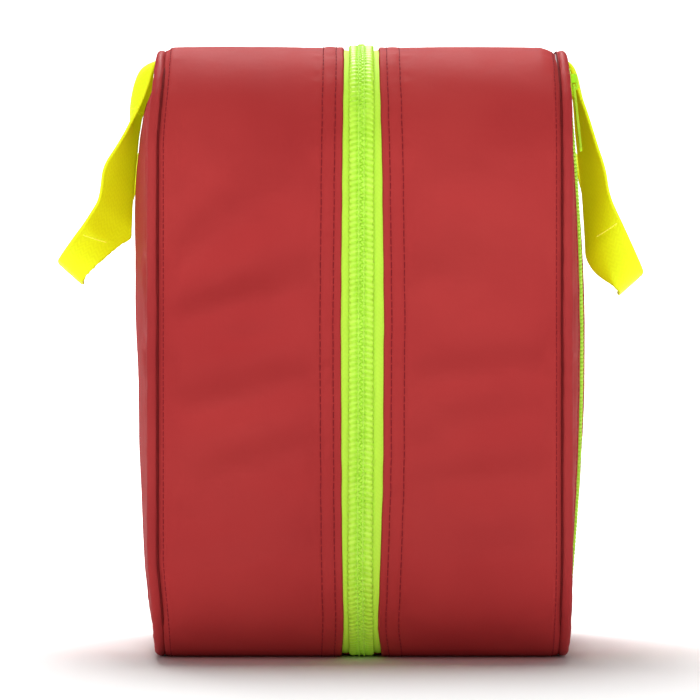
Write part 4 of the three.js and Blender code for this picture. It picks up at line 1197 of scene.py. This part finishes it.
for side, name, leg, folds in ((1, "rear", REAR_LEG, REAR_FOLD), (-1, "front", FRONT_LEG, ())):
    P = strap_rows(leg, side, folds)
    n = len(P)
    shell, nor = strap_shell(P, WEB_T)
    run = np.r_[0, np.cumsum(np.linalg.norm(np.diff(P[:, 30], axis=0), axis=-1))]
    m = P.shape[1]
    V = np.r_[np.linspace(0, 30, m), 31 + np.linspace(0, 30, m), 62]
    cut_at = 7 * 5  # the part nearer the seam is a piece of its own that rides no body
    pieces = {
        "grip": (cut_at, n - cut_at),
        "root_left": (0, cut_at + 1),
        "root_right": (n - cut_at - 1, n),
    }
    for tag, (i, j) in pieces.items():
        ob = skin(f"{name}_handle_{tag}", shell[i:j], M_WEB, f"{name}_handle" if tag == "grip" else None, False, True,
                  U=run[i:j], V=V, flip=side < 0, caps=True,
                  replaces={"grip": (f"{name}_handle",), "root_left": (f"{name}_handle_tab_left",),
                            "root_right": (f"{name}_handle_tab_right",)}[tag], slot="webbing_yellow")
        if tag != "grip":
            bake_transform(ob)
    # a sewn bar across the webbing where the fold begins
    for leg_side in (0, 1):
        for k in (7 * 14 + 4,):
            q = k if leg_side == 0 else n - 1 - k
            line = P[q, 4:33] - nor[q, 4:33] * (WEB_T / 2 - 0.02)
            line2 = P[q, 4:33] + nor[q, 4:33] * (WEB_T / 2 - 0.02)
            for r, (w, L) in enumerate((("a", line), ("b", line2))):
                sg = -1 if w == "a" else 1
                L = catmull(L, 4)
                N2 = np.repeat(nor[q, 4:33] * sg, 4, 0)[: len(L)]
                if len(N2) < len(L):
                    N2 = np.vstack([N2, N2[-1:]])
                stitches(f"{name}_handle_bar_{leg_side}_{k}_{w}", L, N2, M_YTHREAD, f"{name}_handle",
                         length=1.5, pitch=1.75, radius=0.2, lift=0.1, sink=0.2)

# ---------------------------------------------------------------- inside: cloth and boards
M_GAUZE = woven("gauze", (0.86, 0.85, 0.81), (0.66, 0.65, 0.61), (0.90, 0.89, 0.86), 0.5, 0.16, 0.85, 1.0, 0.2)
M_BOARD = woven("divider_cloth", (0.30, 0.31, 0.32), (0.20, 0.205, 0.21), (0.35, 0.36, 0.37), 0.4, 0.06, 0.7, 1.0, 0.1)
M_ELASTIC = woven("elastic_grey", (0.16, 0.165, 0.17), (0.07, 0.072, 0.075), (0.2, 0.205, 0.21), 0.6, 0.2, 0.7, 1.0, 0.1)
M_NET = plastic("net_thread", (0.012, 0.012, 0.014), (0.03, 0.03, 0.033), 0.55, 0.3)
M_CORE = plastic("tape_core", (0.74, 0.75, 0.74), (0.82, 0.83, 0.82), 0.4, 0.4)


def paper(name, mid, light, rough, crease=0.0003, metallic=0.0, spec=0.35):
    m = Mat(name)
    o = m.coords("Object")
    col = m.ramp(m.noise(o, 40, 3, 0.5), [(0.3, mid), (0.7, light)])
    v = m.node("ShaderNodeTexVoronoi", feature="DISTANCE_TO_EDGE")
    v.inputs["Scale"].default_value = 70
    wob = m.node("ShaderNodeMix", data_type="VECTOR")
    wob.inputs[0].default_value = 0.012
    m.link(o, wob.inputs[4])
    nz = m.node("ShaderNodeTexNoise")
    nz.inputs["Scale"].default_value = 55
    m.link(o, nz.inputs["Vector"])
    m.link(nz.outputs["Color"], wob.inputs[5])
    m.link(wob.outputs[1], v.inputs["Vector"])
    n1 = m.bump(m.math("MINIMUM", v.outputs["Distance"], 0.12), crease, 0.6)
    n2 = m.bump(m.noise(o, 130, 4, 0.6), crease * 0.5, 0.5, n1)
    return m.done(col, m.range(m.noise(o, 90, 3, 0.5), rough - 0.05, rough + 0.12), n2, Metallic=metallic, Specular_IOR_Level=spec)


M_PAPER = paper("sterile_paper", (0.84, 0.85, 0.84), (0.90, 0.90, 0.89), 0.5, 0.00012)
M_FOIL = paper("gold_foil", (0.86, 0.60, 0.20), (0.93, 0.70, 0.30), 0.24, 0.0011, 1.0, 0.5)
M_GLOVE = paper("nitrile_blue", (0.035, 0.16, 0.50), (0.05, 0.22, 0.60), 0.42, 0.0005)


def ring(name, side, off0, off1, y0, y1, mat, body, **kw):
    """A folded binding that runs round the outline."""
    s = SG[:, None]
    a = np.linspace(0, 2 * np.pi, 28, endpoint=False)[None]
    co, so = np.cos(a), np.sin(a)
    e = 0.35
    u = np.sign(co) * np.abs(co) ** e
    v = np.sign(so) * np.abs(so) ** e
    pucker = 0.16 * vnoise(s / 2.6, a * 0.9, 310 + side) + 0.12 * vnoise(s / 7.0, a * 0.5, 311)
    off = (off0 + off1) / 2 - (off1 - off0) / 2 * u * (1 - 0.05 * np.abs(pucker))
    y = (y0 + y1) / 2 + ((y1 - y0) / 2 - 0.2) * v + pucker * np.abs(v)
    x, z, _, _ = outline(np.broadcast_to(s, off.shape), off)
    return skin(name, np.stack([x, side * y, z], -1), mat, body, True, True, U=np.r_[SG, LENGTH],
                V=np.linspace(0, 16, 29), flip=side > 0, **kw)


for side, name, d in ((1, "rear", 0.0), (-1, "front", 2.0)):
    body = f"{name}_shell"
    ring(f"{name}_binding_tape", side, 3.5, 9.0, 82.7 - d, 84.5 - d, M_BIND, body,
         replaces=(f"{name}_seam_binding",), slot="binding_red")
    ss = np.arange(0, LENGTH, 1.0)
    x, z, _, _ = outline(ss, 8.0)
    p = np.stack([x, 0 * x + side * (82.86 - d), z], -1)
    stitches(f"{name}_binding_stitch", p, np.broadcast_to([0, -side * 1.0, 0], p.shape), M_THREAD, body,
             length=2.4, pitch=3.1, radius=0.2, lift=0.12)

    def quilt(x, z):
        q = 0
        for cx, cz in ((0.7071, 0.7071), (0.7071, -0.7071)):
            t = (x * cx + (z - H / 2) * cz) / 33.0
            t = np.abs(t - np.round(t)) * 33.0
            q = np.maximum(q, np.exp(-((t / 1.5) ** 2)) + 0.45 * np.exp(-t / 4.0))
        return np.minimum(q, 1.2)

    def inner(x, z, d=d, side=side):
        e = seam_distance(x, z, 9.4)
        return 82.75 - d + 0.75 * quilt(x, z) * smooth(0, 6, e) + 0.10 * vnoise(x / 7 + 60, z / 7, 320 + side) + 0.5 * (1 - smooth(0, 1.6, e))

    ob = row_sheet(f"{name}_lining_quilt", 9.4, lambda x, z, d=d: 84.15 - d + 0 * x, inner, side, M_LINING, body,
                   nz=150, nx=130, flip=side < 0, replaces=(f"{name}_lining_panel",), slot="lining_grey")
    for c in (1, -1):
        for k in range(-6, 7):
            t = np.linspace(-190, 190, 400)
            off = k * 33.0
            px = (t * 0.7071 + off * 0.7071)
            pz = H / 2 + c * (-t * 0.7071 + off * 0.7071)
            ok = seam_distance(px, pz, 9.4) > 3.0
            if ok.sum() < 12:
                continue
            px, pz = px[ok], pz[ok]
            p = np.stack([px, side * (inner(px, pz)), pz], -1)
            stitches(f"{name}_quilt_{c}_{k}", p, np.broadcast_to([0, -side * 1.0, 0], p.shape), M_GTHREAD, body,
                     length=2.2, pitch=3.4, radius=0.16, lift=0.1)

ob = row_sheet("front_inner_wall", FACE_OFF + 0.2,
               lambda x, z: 84.45 + 4.2 * np.maximum(0, 1 - np.abs(x / 68) ** 3) * np.sin(np.pi * np.clip(z / H, 0, 1)),
               lambda x, z: 83.0 + 0.0 * x, -1, M_LINING, "front_shell", nz=70, nx=90, flip=True,
               replaces=("front_face_panel",), slot="lining_grey")


def rounded(name, lo, hi, r, mat, body, step=2.5, shape=None, **kw):
    """A box with round edges, and shape(P, normal) to work it further."""
    lo, hi = np.array(lo, float), np.array(hi, float)
    c, h = (lo + hi) / 2, (hi - lo) / 2
    r = min(r, *(h * 0.999))
    line = []
    for k in range(3):
        n = max(2, int((2 * (h[k] - r)) / step) + 1)
        a = r * np.tan(np.radians(np.linspace(45, 0, 5)))
        line.append(np.unique(np.round(np.r_[-(h[k] - r) - a, np.linspace(-(h[k] - r), h[k] - r, n), (h[k] - r) + a[::-1]], 5)))
    V, Fc = [], []
    base = 0
    for ax in range(3):
        for sg in (-1, 1):
            i, j = (ax + 1) % 3, (ax + 2) % 3
            A, B = np.meshgrid(line[i], line[j], indexing="ij")
            Q = np.zeros(A.shape + (3,))
            Q[..., i], Q[..., j], Q[..., ax] = A, B, sg * h[ax]
            V.append(Q.reshape(-1, 3))
            Fc.append(grid_faces(*A.shape, flip=sg < 0) + base)
            base += A.size
    V, Fc = np.vstack(V), np.vstack(Fc)
    _, first, inv = np.unique(np.round(V, 4), axis=0, return_index=True, return_inverse=True)
    V = V[first]
    Fc = inv.ravel()[Fc]
    q = np.clip(V, -(h - r), h - r)
    d = V - q
    n = d / (np.linalg.norm(d, axis=-1, keepdims=True) + 1e-12)
    P = c + q + n * r
    if shape is not None:
        P = shape(P, n)
    ob = make(name, P, Fc, mat, body, **kw)
    big = int(np.argmin(h))
    planar_uv(ob, tuple(k for k in range(3) if k != big))
    return ob


def board(name, lo, hi, axis, body, nodes):
    def work(P, n):
        u, v = [k for k in range(3) if k != axis]
        P = P.copy()
        P[:, axis] += n[:, axis] * (0.14 * vnoise(P[:, u] / 14 + 40, P[:, v] / 14, 330) - 0.14)
        return P

    ob = rounded(name, lo, hi, 1.4, M_BOARD, body, 3.0, work, replaces=nodes, slot="lining_grey")
    return ob


board("divider_shelf", (-112.8, 24.2, 128.1), (112.8, 82.1, 130.9), 2, "rear_shell", ("rear_divider_shelf",))
board("divider_upright", (-1.4, 24.2, 10.1), (1.4, 82.1, 127.4), 0, "rear_shell", ("rear_divider_upright",))
for tag, a, b, nrm in (("shelf", (-110, 26.6, 130.95), (110, 26.6, 130.95), (0, 0, 1.0)),
                       ("upright_l", (-1.42, 26.6, 14), (-1.42, 26.6, 124), (-1.0, 0, 0)),
                       ("upright_r", (1.42, 26.6, 14), (1.42, 26.6, 124), (1.0, 0, 0))):
    p = np.linspace(a, b, 160)
    stitches(f"divider_stitch_{tag}", p, np.broadcast_to(nrm, p.shape), M_GTHREAD, "rear_shell",
             length=2.4, pitch=3.2, radius=0.2, lift=0.12)

# ---------------------------------------------------------------- inside: supplies
def gauze_roll(name, cx, cy, cz, r, length, node, seed):
    th = np.linspace(0, 2 * np.pi, 96, endpoint=False)
    turn = th / (2 * np.pi)
    prof = []  # (radius fraction, x, ring depth)
    rr = np.r_[np.linspace(0.6, r - 2.2, 46), r - 1.6, r - 0.9, r - 0.35]
    ends = [(q, -length / 2 + 0.25) for q in rr]
    mid = [(r - 0.05, x) for x in np.linspace(-length / 2 + 0.9, length / 2 - 0.9, 44)]
    other = [(q, length / 2 - 0.25) for q in rr[::-1]]
    rows = []
    for q, x in ends + mid + other:
        end = abs(abs(x) - (length / 2 - 0.25)) < 1e-6
        if end:
            sp = np.sin(2 * np.pi * (q / 1.9 - turn))
            dx = -np.sign(x) * (0.55 - 0.5 * sp + 1.4 * (1 - smooth(0, 6, q)) + 0.9 * smooth(r - 2.4, r, q) ** 2)
            rad = q + 0 * th
        else:
            dx = 0 * th
            rad = q - 0.35 + 0.22 * vnoise(th * 3.0, x / 9.0, seed) + 0.25 * vnoise(th * 1.3, x / 30.0, seed + 1)
            rad = rad - 0.5 * smooth(0.0, 0.012, turn) * (1 - smooth(0.012, 0.35, turn))
        rows.append(np.stack([cx + x + dx, cy + rad * np.cos(th), cz + rad * np.sin(th)], -1))
    P = np.array(rows)
    return skin(name, P, M_GAUZE, "rear_shell", False, True, caps=True, flip=False,
                V=np.linspace(0, 2 * np.pi * r, 97), replaces=(node,), slot="gauze_white")


for tag, cz, seed in (("lower", 38.5, 340), ("upper", 88.0, 345)):
    ob = gauze_roll(f"gauze_roll_{tag}", -50, 54, cz, 24, 88, f"bandage_roll_{tag}", seed)


def pillow(name, cx, y0, y1, cz, w, h, mat, body, node, slot, seed, side_m=2.5, end_m=7.0, soft=13.0, wrinkle=0.7, crimp=0.28):
    """A sealed pack: two films round a soft fill, flat crimped ends."""
    x = cx + w / 2 * np.sin(np.linspace(-1, 1, 70) * np.pi / 2 * 0.92) / math.sin(np.pi / 2 * 0.92)
    z = cz + h / 2 * np.sin(np.linspace(-1, 1, 84) * np.pi / 2 * 0.92) / math.sin(np.pi / 2 * 0.92)
    Z, X = np.meshgrid(z, x, indexing="ij")
    yc, ht = (y0 + y1) / 2, abs(y1 - y0) / 2
    d = np.minimum(w / 2 - np.abs(X - cx) - side_m, h / 2 - np.abs(Z - cz) - end_m)
    t = np.clip(d / soft, 0, 1)
    puff = np.sqrt(np.clip(1 - (1 - t) ** 2, 0, 1)) ** 0.8
    flat = 1 - smooth(0.0, 0.25, t)
    sheets = []
    for sg in (1, -1):
        f = vnoise(X / 15 + 30, Z / 22, seed + sg) + 0.5 * vnoise((X + 0.6 * Z) / 8 + 30, Z / 16, seed + 2 + sg)
        edge = vnoise(X / 5.0 + 30, 0 * Z, seed + 4) * np.exp(-np.abs(h / 2 - np.abs(Z - cz) - end_m) / 9)
        y = yc + sg * (0.3 + np.maximum(0, (ht - 0.75) * puff + (wrinkle * (0.5 * f - 0.55) + 0.6 * edge) * puff ** 0.5))
        y = y + crimp * np.sin(2 * np.pi * Z / 2.0) * flat * (h / 2 - np.abs(Z - cz) < end_m + 1)
        sheets.append(np.stack([X, y, Z], -1))
    P = np.concatenate([sheets[0], sheets[1][:, ::-1]], 1)
    ob = skin(name, P, mat, body, False, True, caps=True, flip=True, replaces=(node,), slot=slot)
    planar_uv(ob)
    return ob


pillow("dressing_rear", 52, 62, 80, 66, 94, 98, M_PAPER, "rear_shell", "dressing_pack_rear", "paper_white", 350)
pillow("dressing_middle", 52, 45, 60, 64, 90, 88, M_PAPER, "rear_shell", "dressing_pack_middle", "paper_white", 360)
pillow("foil_blanket", -60, 52, 78, 172, 92, 68, M_FOIL, "rear_shell", "foil_blanket_pack", "foil_gold", 370, 1.5, 5.0, 12.0, 1.2, 0.2)
pillow("triangular_bandage", -44, -79.4, -64.5, 72, 84, 96, M_PAPER, "front_shell", "triangular_bandage_pack", "paper_white", 380)
pillow("gloves", 46, -79.4, -67, 68, 84, 92, M_GLOVE, "front_shell", "glove_pack", "glove_blue", 390, 1.5, 3.0, 9.0, 1.3, 0.05)


def reel(name, cx, y0, y1, cz, r0, r1, mat, layers, seed, **kw):
    th = np.linspace(0, 2 * np.pi, 96, endpoint=False)
    turn = th / (2 * np.pi)
    rr = np.linspace(r0 + 0.35, r1 - 0.35, layers)
    prof = [(q, y1, 1) for q in rr] + [(r1, y1 - 0.35, 0)] + [(r1, y, 0) for y in np.linspace(y1 - 1, y0 + 1, 6)] + [(r1, y0 + 0.35, 0)]
    prof += [(q, y0, -1) for q in rr[::-1]] + [(r0, y0 + 0.35, 0), (r0, (y0 + y1) / 2, 0), (r0, y1 - 0.35, 0)]
    rows = []
    for q, y, e in prof:
        dy = -e * (0.12 - 0.12 * np.sin(2 * np.pi * (q / 0.8 - turn)))
        rad = q + (0.04 * vnoise(th * 4, y / 4, seed) if not e else 0) + 0 * th
        rows.append(np.stack([cx + rad * np.cos(th), y + dy, cz + rad * np.sin(th)], -1))
    P = np.array(rows).transpose(1, 0, 2)
    return skin(name, P, mat, "front_shell", True, True, flip=True, **kw)


reel("adhesive_tape", 55, -78.9, -63.1, 197, 14.6, 24, M_GAUZE, 36, 400, replaces=("tape_roll",), slot="gauze_white")
reel("adhesive_tape_core", 55, -79.0, -63.0, 197, 13.0, 14.5, M_CORE, 4, 401)

# ---------------------------------------------------------------- inside: net pocket
NET_R = 7.0


def net_path(u):
    """Point and outward normal, in plan, at distance u along the net's wall
    from its left root at the lining, in mm."""
    x0, yb, yf = -95.4, -80.2, -55.6
    straight = (yf - yb) - NET_R
    arc = NET_R * np.pi / 2
    front = 2 * 95.4 - 2 * NET_R
    x, y, nx, ny = (np.zeros(np.shape(u)) for _ in range(4))
    e = np.cumsum([0, straight, arc, front, arc, straight + 1e-6])
    for k in range(5):
        m = (u >= e[k]) & (u <= e[k + 1])
        t = u[m] - e[k]
        if k == 0:
            v = (x0 + 0 * t, yb + t, -1 + 0 * t, 0 * t)
        elif k == 1:
            a = t / NET_R
            v = (x0 + NET_R - NET_R * np.cos(a), yf - NET_R + NET_R * np.sin(a), -np.cos(a), np.sin(a))
        elif k == 2:
            v = (x0 + NET_R + t, yf + 0 * t, 0 * t, 1 + 0 * t)
        elif k == 3:
            a = t / NET_R
            v = (-x0 - NET_R + NET_R * np.sin(a), yf - NET_R + NET_R * np.cos(a), np.sin(a), np.cos(a))
        else:
            v = (-x0 + 0 * t, yf - NET_R - t, 1 + 0 * t, 0 * t)
        x[m], y[m], nx[m], ny[m] = v
    return x, y, nx, ny, e[-1]


NET_W = float(net_path(np.array([0.0]))[4]) - 1e-3


def net_point(u, z):
    u, z = np.broadcast_arrays(np.clip(u, 0, NET_W), z)
    x, y, nx, ny, _ = net_path(u)
    mid = np.sin(np.pi * u / NET_W)
    o = 0.5 * vnoise(u / 26, z / 30, 410) * mid - 0.4 - 1.0 * smooth(26, 16, z) * 0
    lowr = np.clip((16 + 6 - z) / 6, 0, 1)
    inset = 6 * (1 - np.sqrt(np.clip(1 - lowr**2, 0, 1)))
    o = o - inset
    return np.stack([x + nx * o, np.maximum(y + ny * o, -80.3), z], -1)


def net_threads(name, slope, pitch, r):
    lines = []
    z0, z1 = 16.6, 128.6
    run = (z1 - z0) / slope
    for k in np.arange(-abs(run), NET_W + abs(run), pitch):
        t = np.linspace(0, 1, 400)
        u, z = k + run * t, z0 + (z1 - z0) * t
        ok = (u >= 0) & (u <= NET_W)
        if ok.sum() < 8:
            continue
        u, z = u[ok], z[ok]
        tt = np.linspace(0, 1, 46)
        u, z = np.interp(tt, np.linspace(0, 1, len(u)), u), np.interp(tt, np.linspace(0, 1, len(z)), z)
        lines.append(net_point(u, z))
    return tubes(name, np.array(lines), r, M_NET, "front_shell", sides=4,
                 **({"replaces": ("front_net_pocket",), "slot": "net_black"} if slope > 0 else {}))


net_threads("net_threads_a", 1.7, 3.0, 0.24)
net_threads("net_threads_b", -1.7, 3.0, 0.24)
rows = []
for z in (16.5,):
    rows.append(net_point(np.linspace(0, NET_W, 160), np.full(160, z)))
tubes("net_hem", np.array(rows), 0.75, M_NET, "front_shell", sides=8)
# floor of the net pocket
lines = []
for x in np.arange(-93.0, 93.1, 3.0):
    lines.append(np.stack([np.full(20, x), np.linspace(-80.0, -62.0, 20), np.full(20, 16.5)], -1))
tubes("net_floor", np.array(lines), 0.24, M_NET, "front_shell", sides=4)
# its top binding, an elastic tape that gathers the net a little
u = np.linspace(0, NET_W, 300)
a = np.linspace(0, 2 * np.pi, 24, endpoint=False)
x, y, nx, ny, _ = net_path(u)
co, so = np.sign(np.cos(a)) * np.abs(np.cos(a)) ** 0.3, np.sign(np.sin(a)) * np.abs(np.sin(a)) ** 0.3
gather = 0.18 * vnoise(u / 2.4, 0 * u, 420)[:, None] * np.abs(np.cos(a))[None]
o = -0.3 + 0.85 * co[None] + gather
z = 134.1 + 5.7 * so[None] + 0 * o
P = np.stack([x[:, None] + nx[:, None] * o, np.maximum(y[:, None] + ny[:, None] * o, -80.3), z], -1)
skin("net_binding_tape", P, M_BIND, "front_shell", False, True, caps=True, flip=True,
     replaces=("front_net_binding",), slot="binding_red")
for zz_ in (130.2, 137.6):
    p = np.stack([x + nx * 0.6, y + ny * 0.6, 0 * x + zz_], -1)
    stitches(f"net_binding_stitch_{int(zz_)}", p, np.stack([nx, ny, 0 * nx], -1), M_THREAD, "front_shell",
             length=2.2, pitch=2.9, radius=0.2, lift=0.1)

# ---------------------------------------------------------------- inside: elastic loops
def loop_y(x):
    y = -79.75 + 0 * x
    for x0, x1, hgt in ((-70, -34, 8.6), (-14, 10, 7.4), (26, 84, 21.4)):
        c, w = (x0 + x1) / 2, (x1 - x0) / 2
        q = np.clip(1 - np.abs((x - c) / w) ** 2.7, 0, 1) ** (1 / 2.7)
        y = np.maximum(y, -79.75 + (hgt - 1.3) * q)
    return y


xs = np.unique(np.r_[np.linspace(-91.5, 91.5, 260)] + 0.0)
for x0, x1, hgt in ((-70, -34, 8.6), (-14, 10, 7.4), (26, 84, 21.4)):
    xs = np.unique(np.r_[xs, x0 + np.geomspace(0.01, 3, 10), x1 - np.geomspace(0.01, 3, 10)])
pts = np.stack([xs, loop_y(xs)], -1)
d = np.r_[0, np.cumsum(np.linalg.norm(np.diff(pts, axis=0), axis=-1))]
t = np.linspace(0, d[-1], 420)
xs, ys = np.interp(t, d, pts[:, 0]), np.interp(t, d, pts[:, 1])
tx, ty = np.gradient(xs), np.gradient(ys)
q = np.hypot(tx, ty)
nx, ny = -ty / q, tx / q
a = np.linspace(0, 2 * np.pi, 40, endpoint=False)
co, so = np.sign(np.cos(a)) * np.abs(np.cos(a)) ** 0.35, np.sign(np.sin(a)) * np.abs(np.sin(a)) ** 0.18
rib = 0.07 * np.sin(2 * np.pi * t / 1.3)[:, None]
o = (0.52 + rib * 0.5) * co[None]
z = 197 + (10.7 + 0.25 * vnoise(t / 9, 0 * t, 430)[:, None]) * so[None]
P = np.stack([xs[:, None] + nx[:, None] * o, np.maximum(ys[:, None] + ny[:, None] * o, -80.35), z], -1)
skin("elastic_band", P, M_ELASTIC, "front_shell", False, True, caps=True, flip=True, U=t,
     V=np.linspace(0, 46, 41), replaces=("elastic_loops",), slot="lining_grey")
for k, x in enumerate((-88, -73.5, -30.5, -17.5, 13.5, 22.5, 87.5)):
    p = np.stack([np.full(60, x), np.full(60, -79.2), np.linspace(187.5, 206.5, 60)], -1)
    for j, dx in enumerate((-0.7, 0.7)):
        stitches(f"elastic_bar_{k}_{j}", p + [dx, 0, 0], np.broadcast_to([0, 1.0, 0], p.shape), M_GTHREAD, "front_shell",
                 length=1.6, pitch=2.0, radius=0.24, lift=0.16)

# ---------------------------------------------------------------- metal pieces
def brushed(name, mid, light, rough=0.3, stretch=(1, 1, 30)):
    m = Mat(name)
    v = m.coords("Object", scale=stretch)
    col = m.ramp(m.noise(v, 90, 3, 0.6), [(0.3, mid), (0.7, light)])
    r = m.range(m.noise(v, 160, 3, 0.6), rough - 0.06, rough + 0.1)
    n = m.bump(m.noise(v, 220, 2, 0.6), 0.00002, 0.5)
    return m.done(col, r, n, Metallic=1.0)


M_STEEL = brushed("brushed_steel", (0.46, 0.47, 0.48), (0.62, 0.63, 0.64), 0.28, (30, 30, 1))


def finish_node(node, mat, width, segments=3, angle=32):
    """Keeps a hard CAD piece, with its edges broken and its own finish."""
    ob = frame["nodes"][node]
    ob.data.materials.clear()
    ob.data.materials.append(mat)
    for pl in ob.data.polygons:
        pl.material_index = 0
    mod = ob.modifiers.new("broken_edges", "BEVEL")
    mod.width = width * MM
    mod.segments = segments
    mod.limit_method = "ANGLE"
    mod.angle_limit = math.radians(angle)
    mod.harden_normals = False
    return ob


for node in ("main_slider_left", "main_slider_right", "pocket_slider"):
    finish_node(node, M_PULL, 0.28)
for node in ("main_slider_left_pull", "main_slider_right_pull", "pocket_slider_pull"):
    finish_node(node, M_PULL, 0.3)
# the web that closes the small slider's bail behind the pull's bar
O, T, N, B = (q[0] for q in pocket_line(np.array([252.0])))
loop = np.array([(-3.1, 2.0), (-3.1, 4.1), (-2.9, 4.5), (-2.4, 4.75), (-1.2, 4.85), (0.1, 4.7), (0.45, 4.3), (0.55, 3.6), (0.55, 2.0)])
rows = []
for v, k in ((-0.72, 0.86), (-0.6, 0.97), (-0.3, 1.0), (0.3, 1.0), (0.6, 0.97), (0.72, 0.86)):
    q = (loop - loop.mean(0)) * k + loop.mean(0)
    rows.append(O - T * q[:, :1] + N * q[:, 1:] + B * v)
skin("pocket_slider_bail_web", np.stack(rows), M_PULL, "pocket_slider", False, True, caps=True)
for node in ("shears", "tweezers"):
    finish_node(node, M_STEEL, 0.25, 2)

# ---------------------------------------------------------------- hinge strip
hx = np.linspace(-59, 59, 90)
hy = np.linspace(8.2, -8.2, 41)
X, Y = np.meshgrid(hx, hy, indexing="ij")
topz = 0.98 - 0.2 * bump(np.abs(Y), 5.6, 0.5) + 0.05 * vnoise(X / 3, Y / 3, 300)
edge_z = 1 - smooth(7.4, 8.2, np.abs(Y)) * 0.4
P = np.concatenate([np.stack([X, Y, topz * edge_z], -1), np.stack([X, Y, 0 * X + 0.03], -1)[:, ::-1]], 1)
strip = skin("hinge_strip_cloth", P, M_RED, None, False, True, caps=True, replaces=("hinge_strip",), slot="shell_red")
planar_uv(strip, (0, 1))
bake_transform(strip)
# ---------------------------------------------------------------- the stage
def plane(name, verts, mat):
    me = bpy.data.meshes.new(name)
    me.from_pydata(verts, [], [(0, 1, 2, 3)])
    ob = bpy.data.objects.new(name, me)
    bpy.context.scene.collection.objects.link(ob)
    me.materials.append(mat)
    return ob


mf = Mat("studio_floor")
o = mf.coords("Object")
# the floor gives off light that grows with distance from the bag, none near it: painted light that whitens the far
# floor while the floor near the bag stays darker
far = mf.node("ShaderNodeVectorMath", operation="LENGTH")
mf.link(o, far.inputs[0])
painted_floor_light = mf.node("ShaderNodeMapRange", interpolation_type="SMOOTHSTEP")
for k, v in (("From Min", 0.16), ("From Max", 1.5), ("To Min", 0.0), ("To Max", 1.05)):
    painted_floor_light.inputs[k].default_value = v
mf.link(far.outputs["Value"], painted_floor_light.inputs["Value"])
mf.link(painted_floor_light.outputs["Result"], mf.b.inputs["Emission Strength"])
M_FLOOR = mf.done(mf.ramp(mf.noise(o, 3, 2, 0.5), [(0.3, (0.93, 0.93, 0.93)), (0.7, (0.95, 0.95, 0.95))]), 0.8, None,
                  Specular_IOR_Level=0.1, Emission_Color=(1, 1, 1, 1))
plane("studio_floor", [(-6, -6, 0), (8, -6, 0), (8, 6, 0), (-6, 6, 0)], M_FLOOR)
mb = Mat("studio_back")
M_BACK = mb.done((0.9, 0.9, 0.9), 0.9, None, Emission_Color=(1, 1, 1, 1), Emission_Strength=1.05)
back = plane("studio_back", [(7, -9, -0.2), (7, 9, -0.2), (7, 9, 8), (7, -9, 8)], M_BACK)
back.visible_glossy = False


def light(name, size, power, loc, target=(0, 0, 0.13), color=(1, 1, 1)):
    d = bpy.data.lights.new(name, "AREA")
    d.shape = "RECTANGLE"
    d.size, d.size_y = size
    d.energy = power
    d.color = color
    o = bpy.data.objects.new(name, d)
    o.location = loc
    o.rotation_euler = (Vector(target) - Vector(loc)).to_track_quat("-Z", "Y").to_euler()
    o.visible_camera = False
    bpy.context.scene.collection.objects.link(o)
    return o


light("top_soft", (0.7, 1.8), 54, (0.75, 0.1, 1.85))
front = light("front_soft", (2.4, 0.45), 39, (-3.0, 0.1, 0.22), (0, 0, 0.12))
light("side_soft_rear", (1.0, 0.8), 8, (-0.7, 2.2, 0.42))
light("side_soft_front", (1.0, 0.8), 8, (-0.7, -2.2, 0.42))
# the low front light is flagged off the floor
lit = bpy.data.collections.new("front_light_receivers")
for ob in list(bpy.context.scene.objects):
    if ob.type == "MESH" and not ob.name.startswith("studio_"):
        lit.objects.link(ob)
front.light_linking.receiver_collection = lit
# a second low light, flagged off everything but the webbing
webbing = light("handle_soft", (1.6, 0.5), 26, (-3.0, 0.3, 0.45), (0, 0, 0.2))
web_lit = bpy.data.collections.new("handle_light_receivers")
for ob in list(bpy.context.scene.objects):
    if ob.type == "MESH" and "_handle_" in ob.name:
        web_lit.objects.link(ob)
webbing.light_linking.receiver_collection = web_lit
world = bpy.data.worlds.new("studio_world")
world.use_nodes = True
world.node_tree.nodes["Background"].inputs[0].default_value = (1, 1, 1, 1)
world.node_tree.nodes["Background"].inputs[1].default_value = 0.12
bpy.context.scene.world = world
bpy.context.scene.view_settings.view_transform = "Standard"

cam = bpy.data.cameras.new("photo_camera")
cam.lens = 239.2
cam.sensor_width = 36
cam.clip_start, cam.clip_end = 0.1, 40
co = bpy.data.objects.new("photo_camera", cam)
co.location = (-2.120, 0.00516, 0.1347)
co.rotation_euler = (math.pi / 2, 0, -math.pi / 2)
bpy.context.scene.collection.objects.link(co)
bpy.context.scene.camera = co
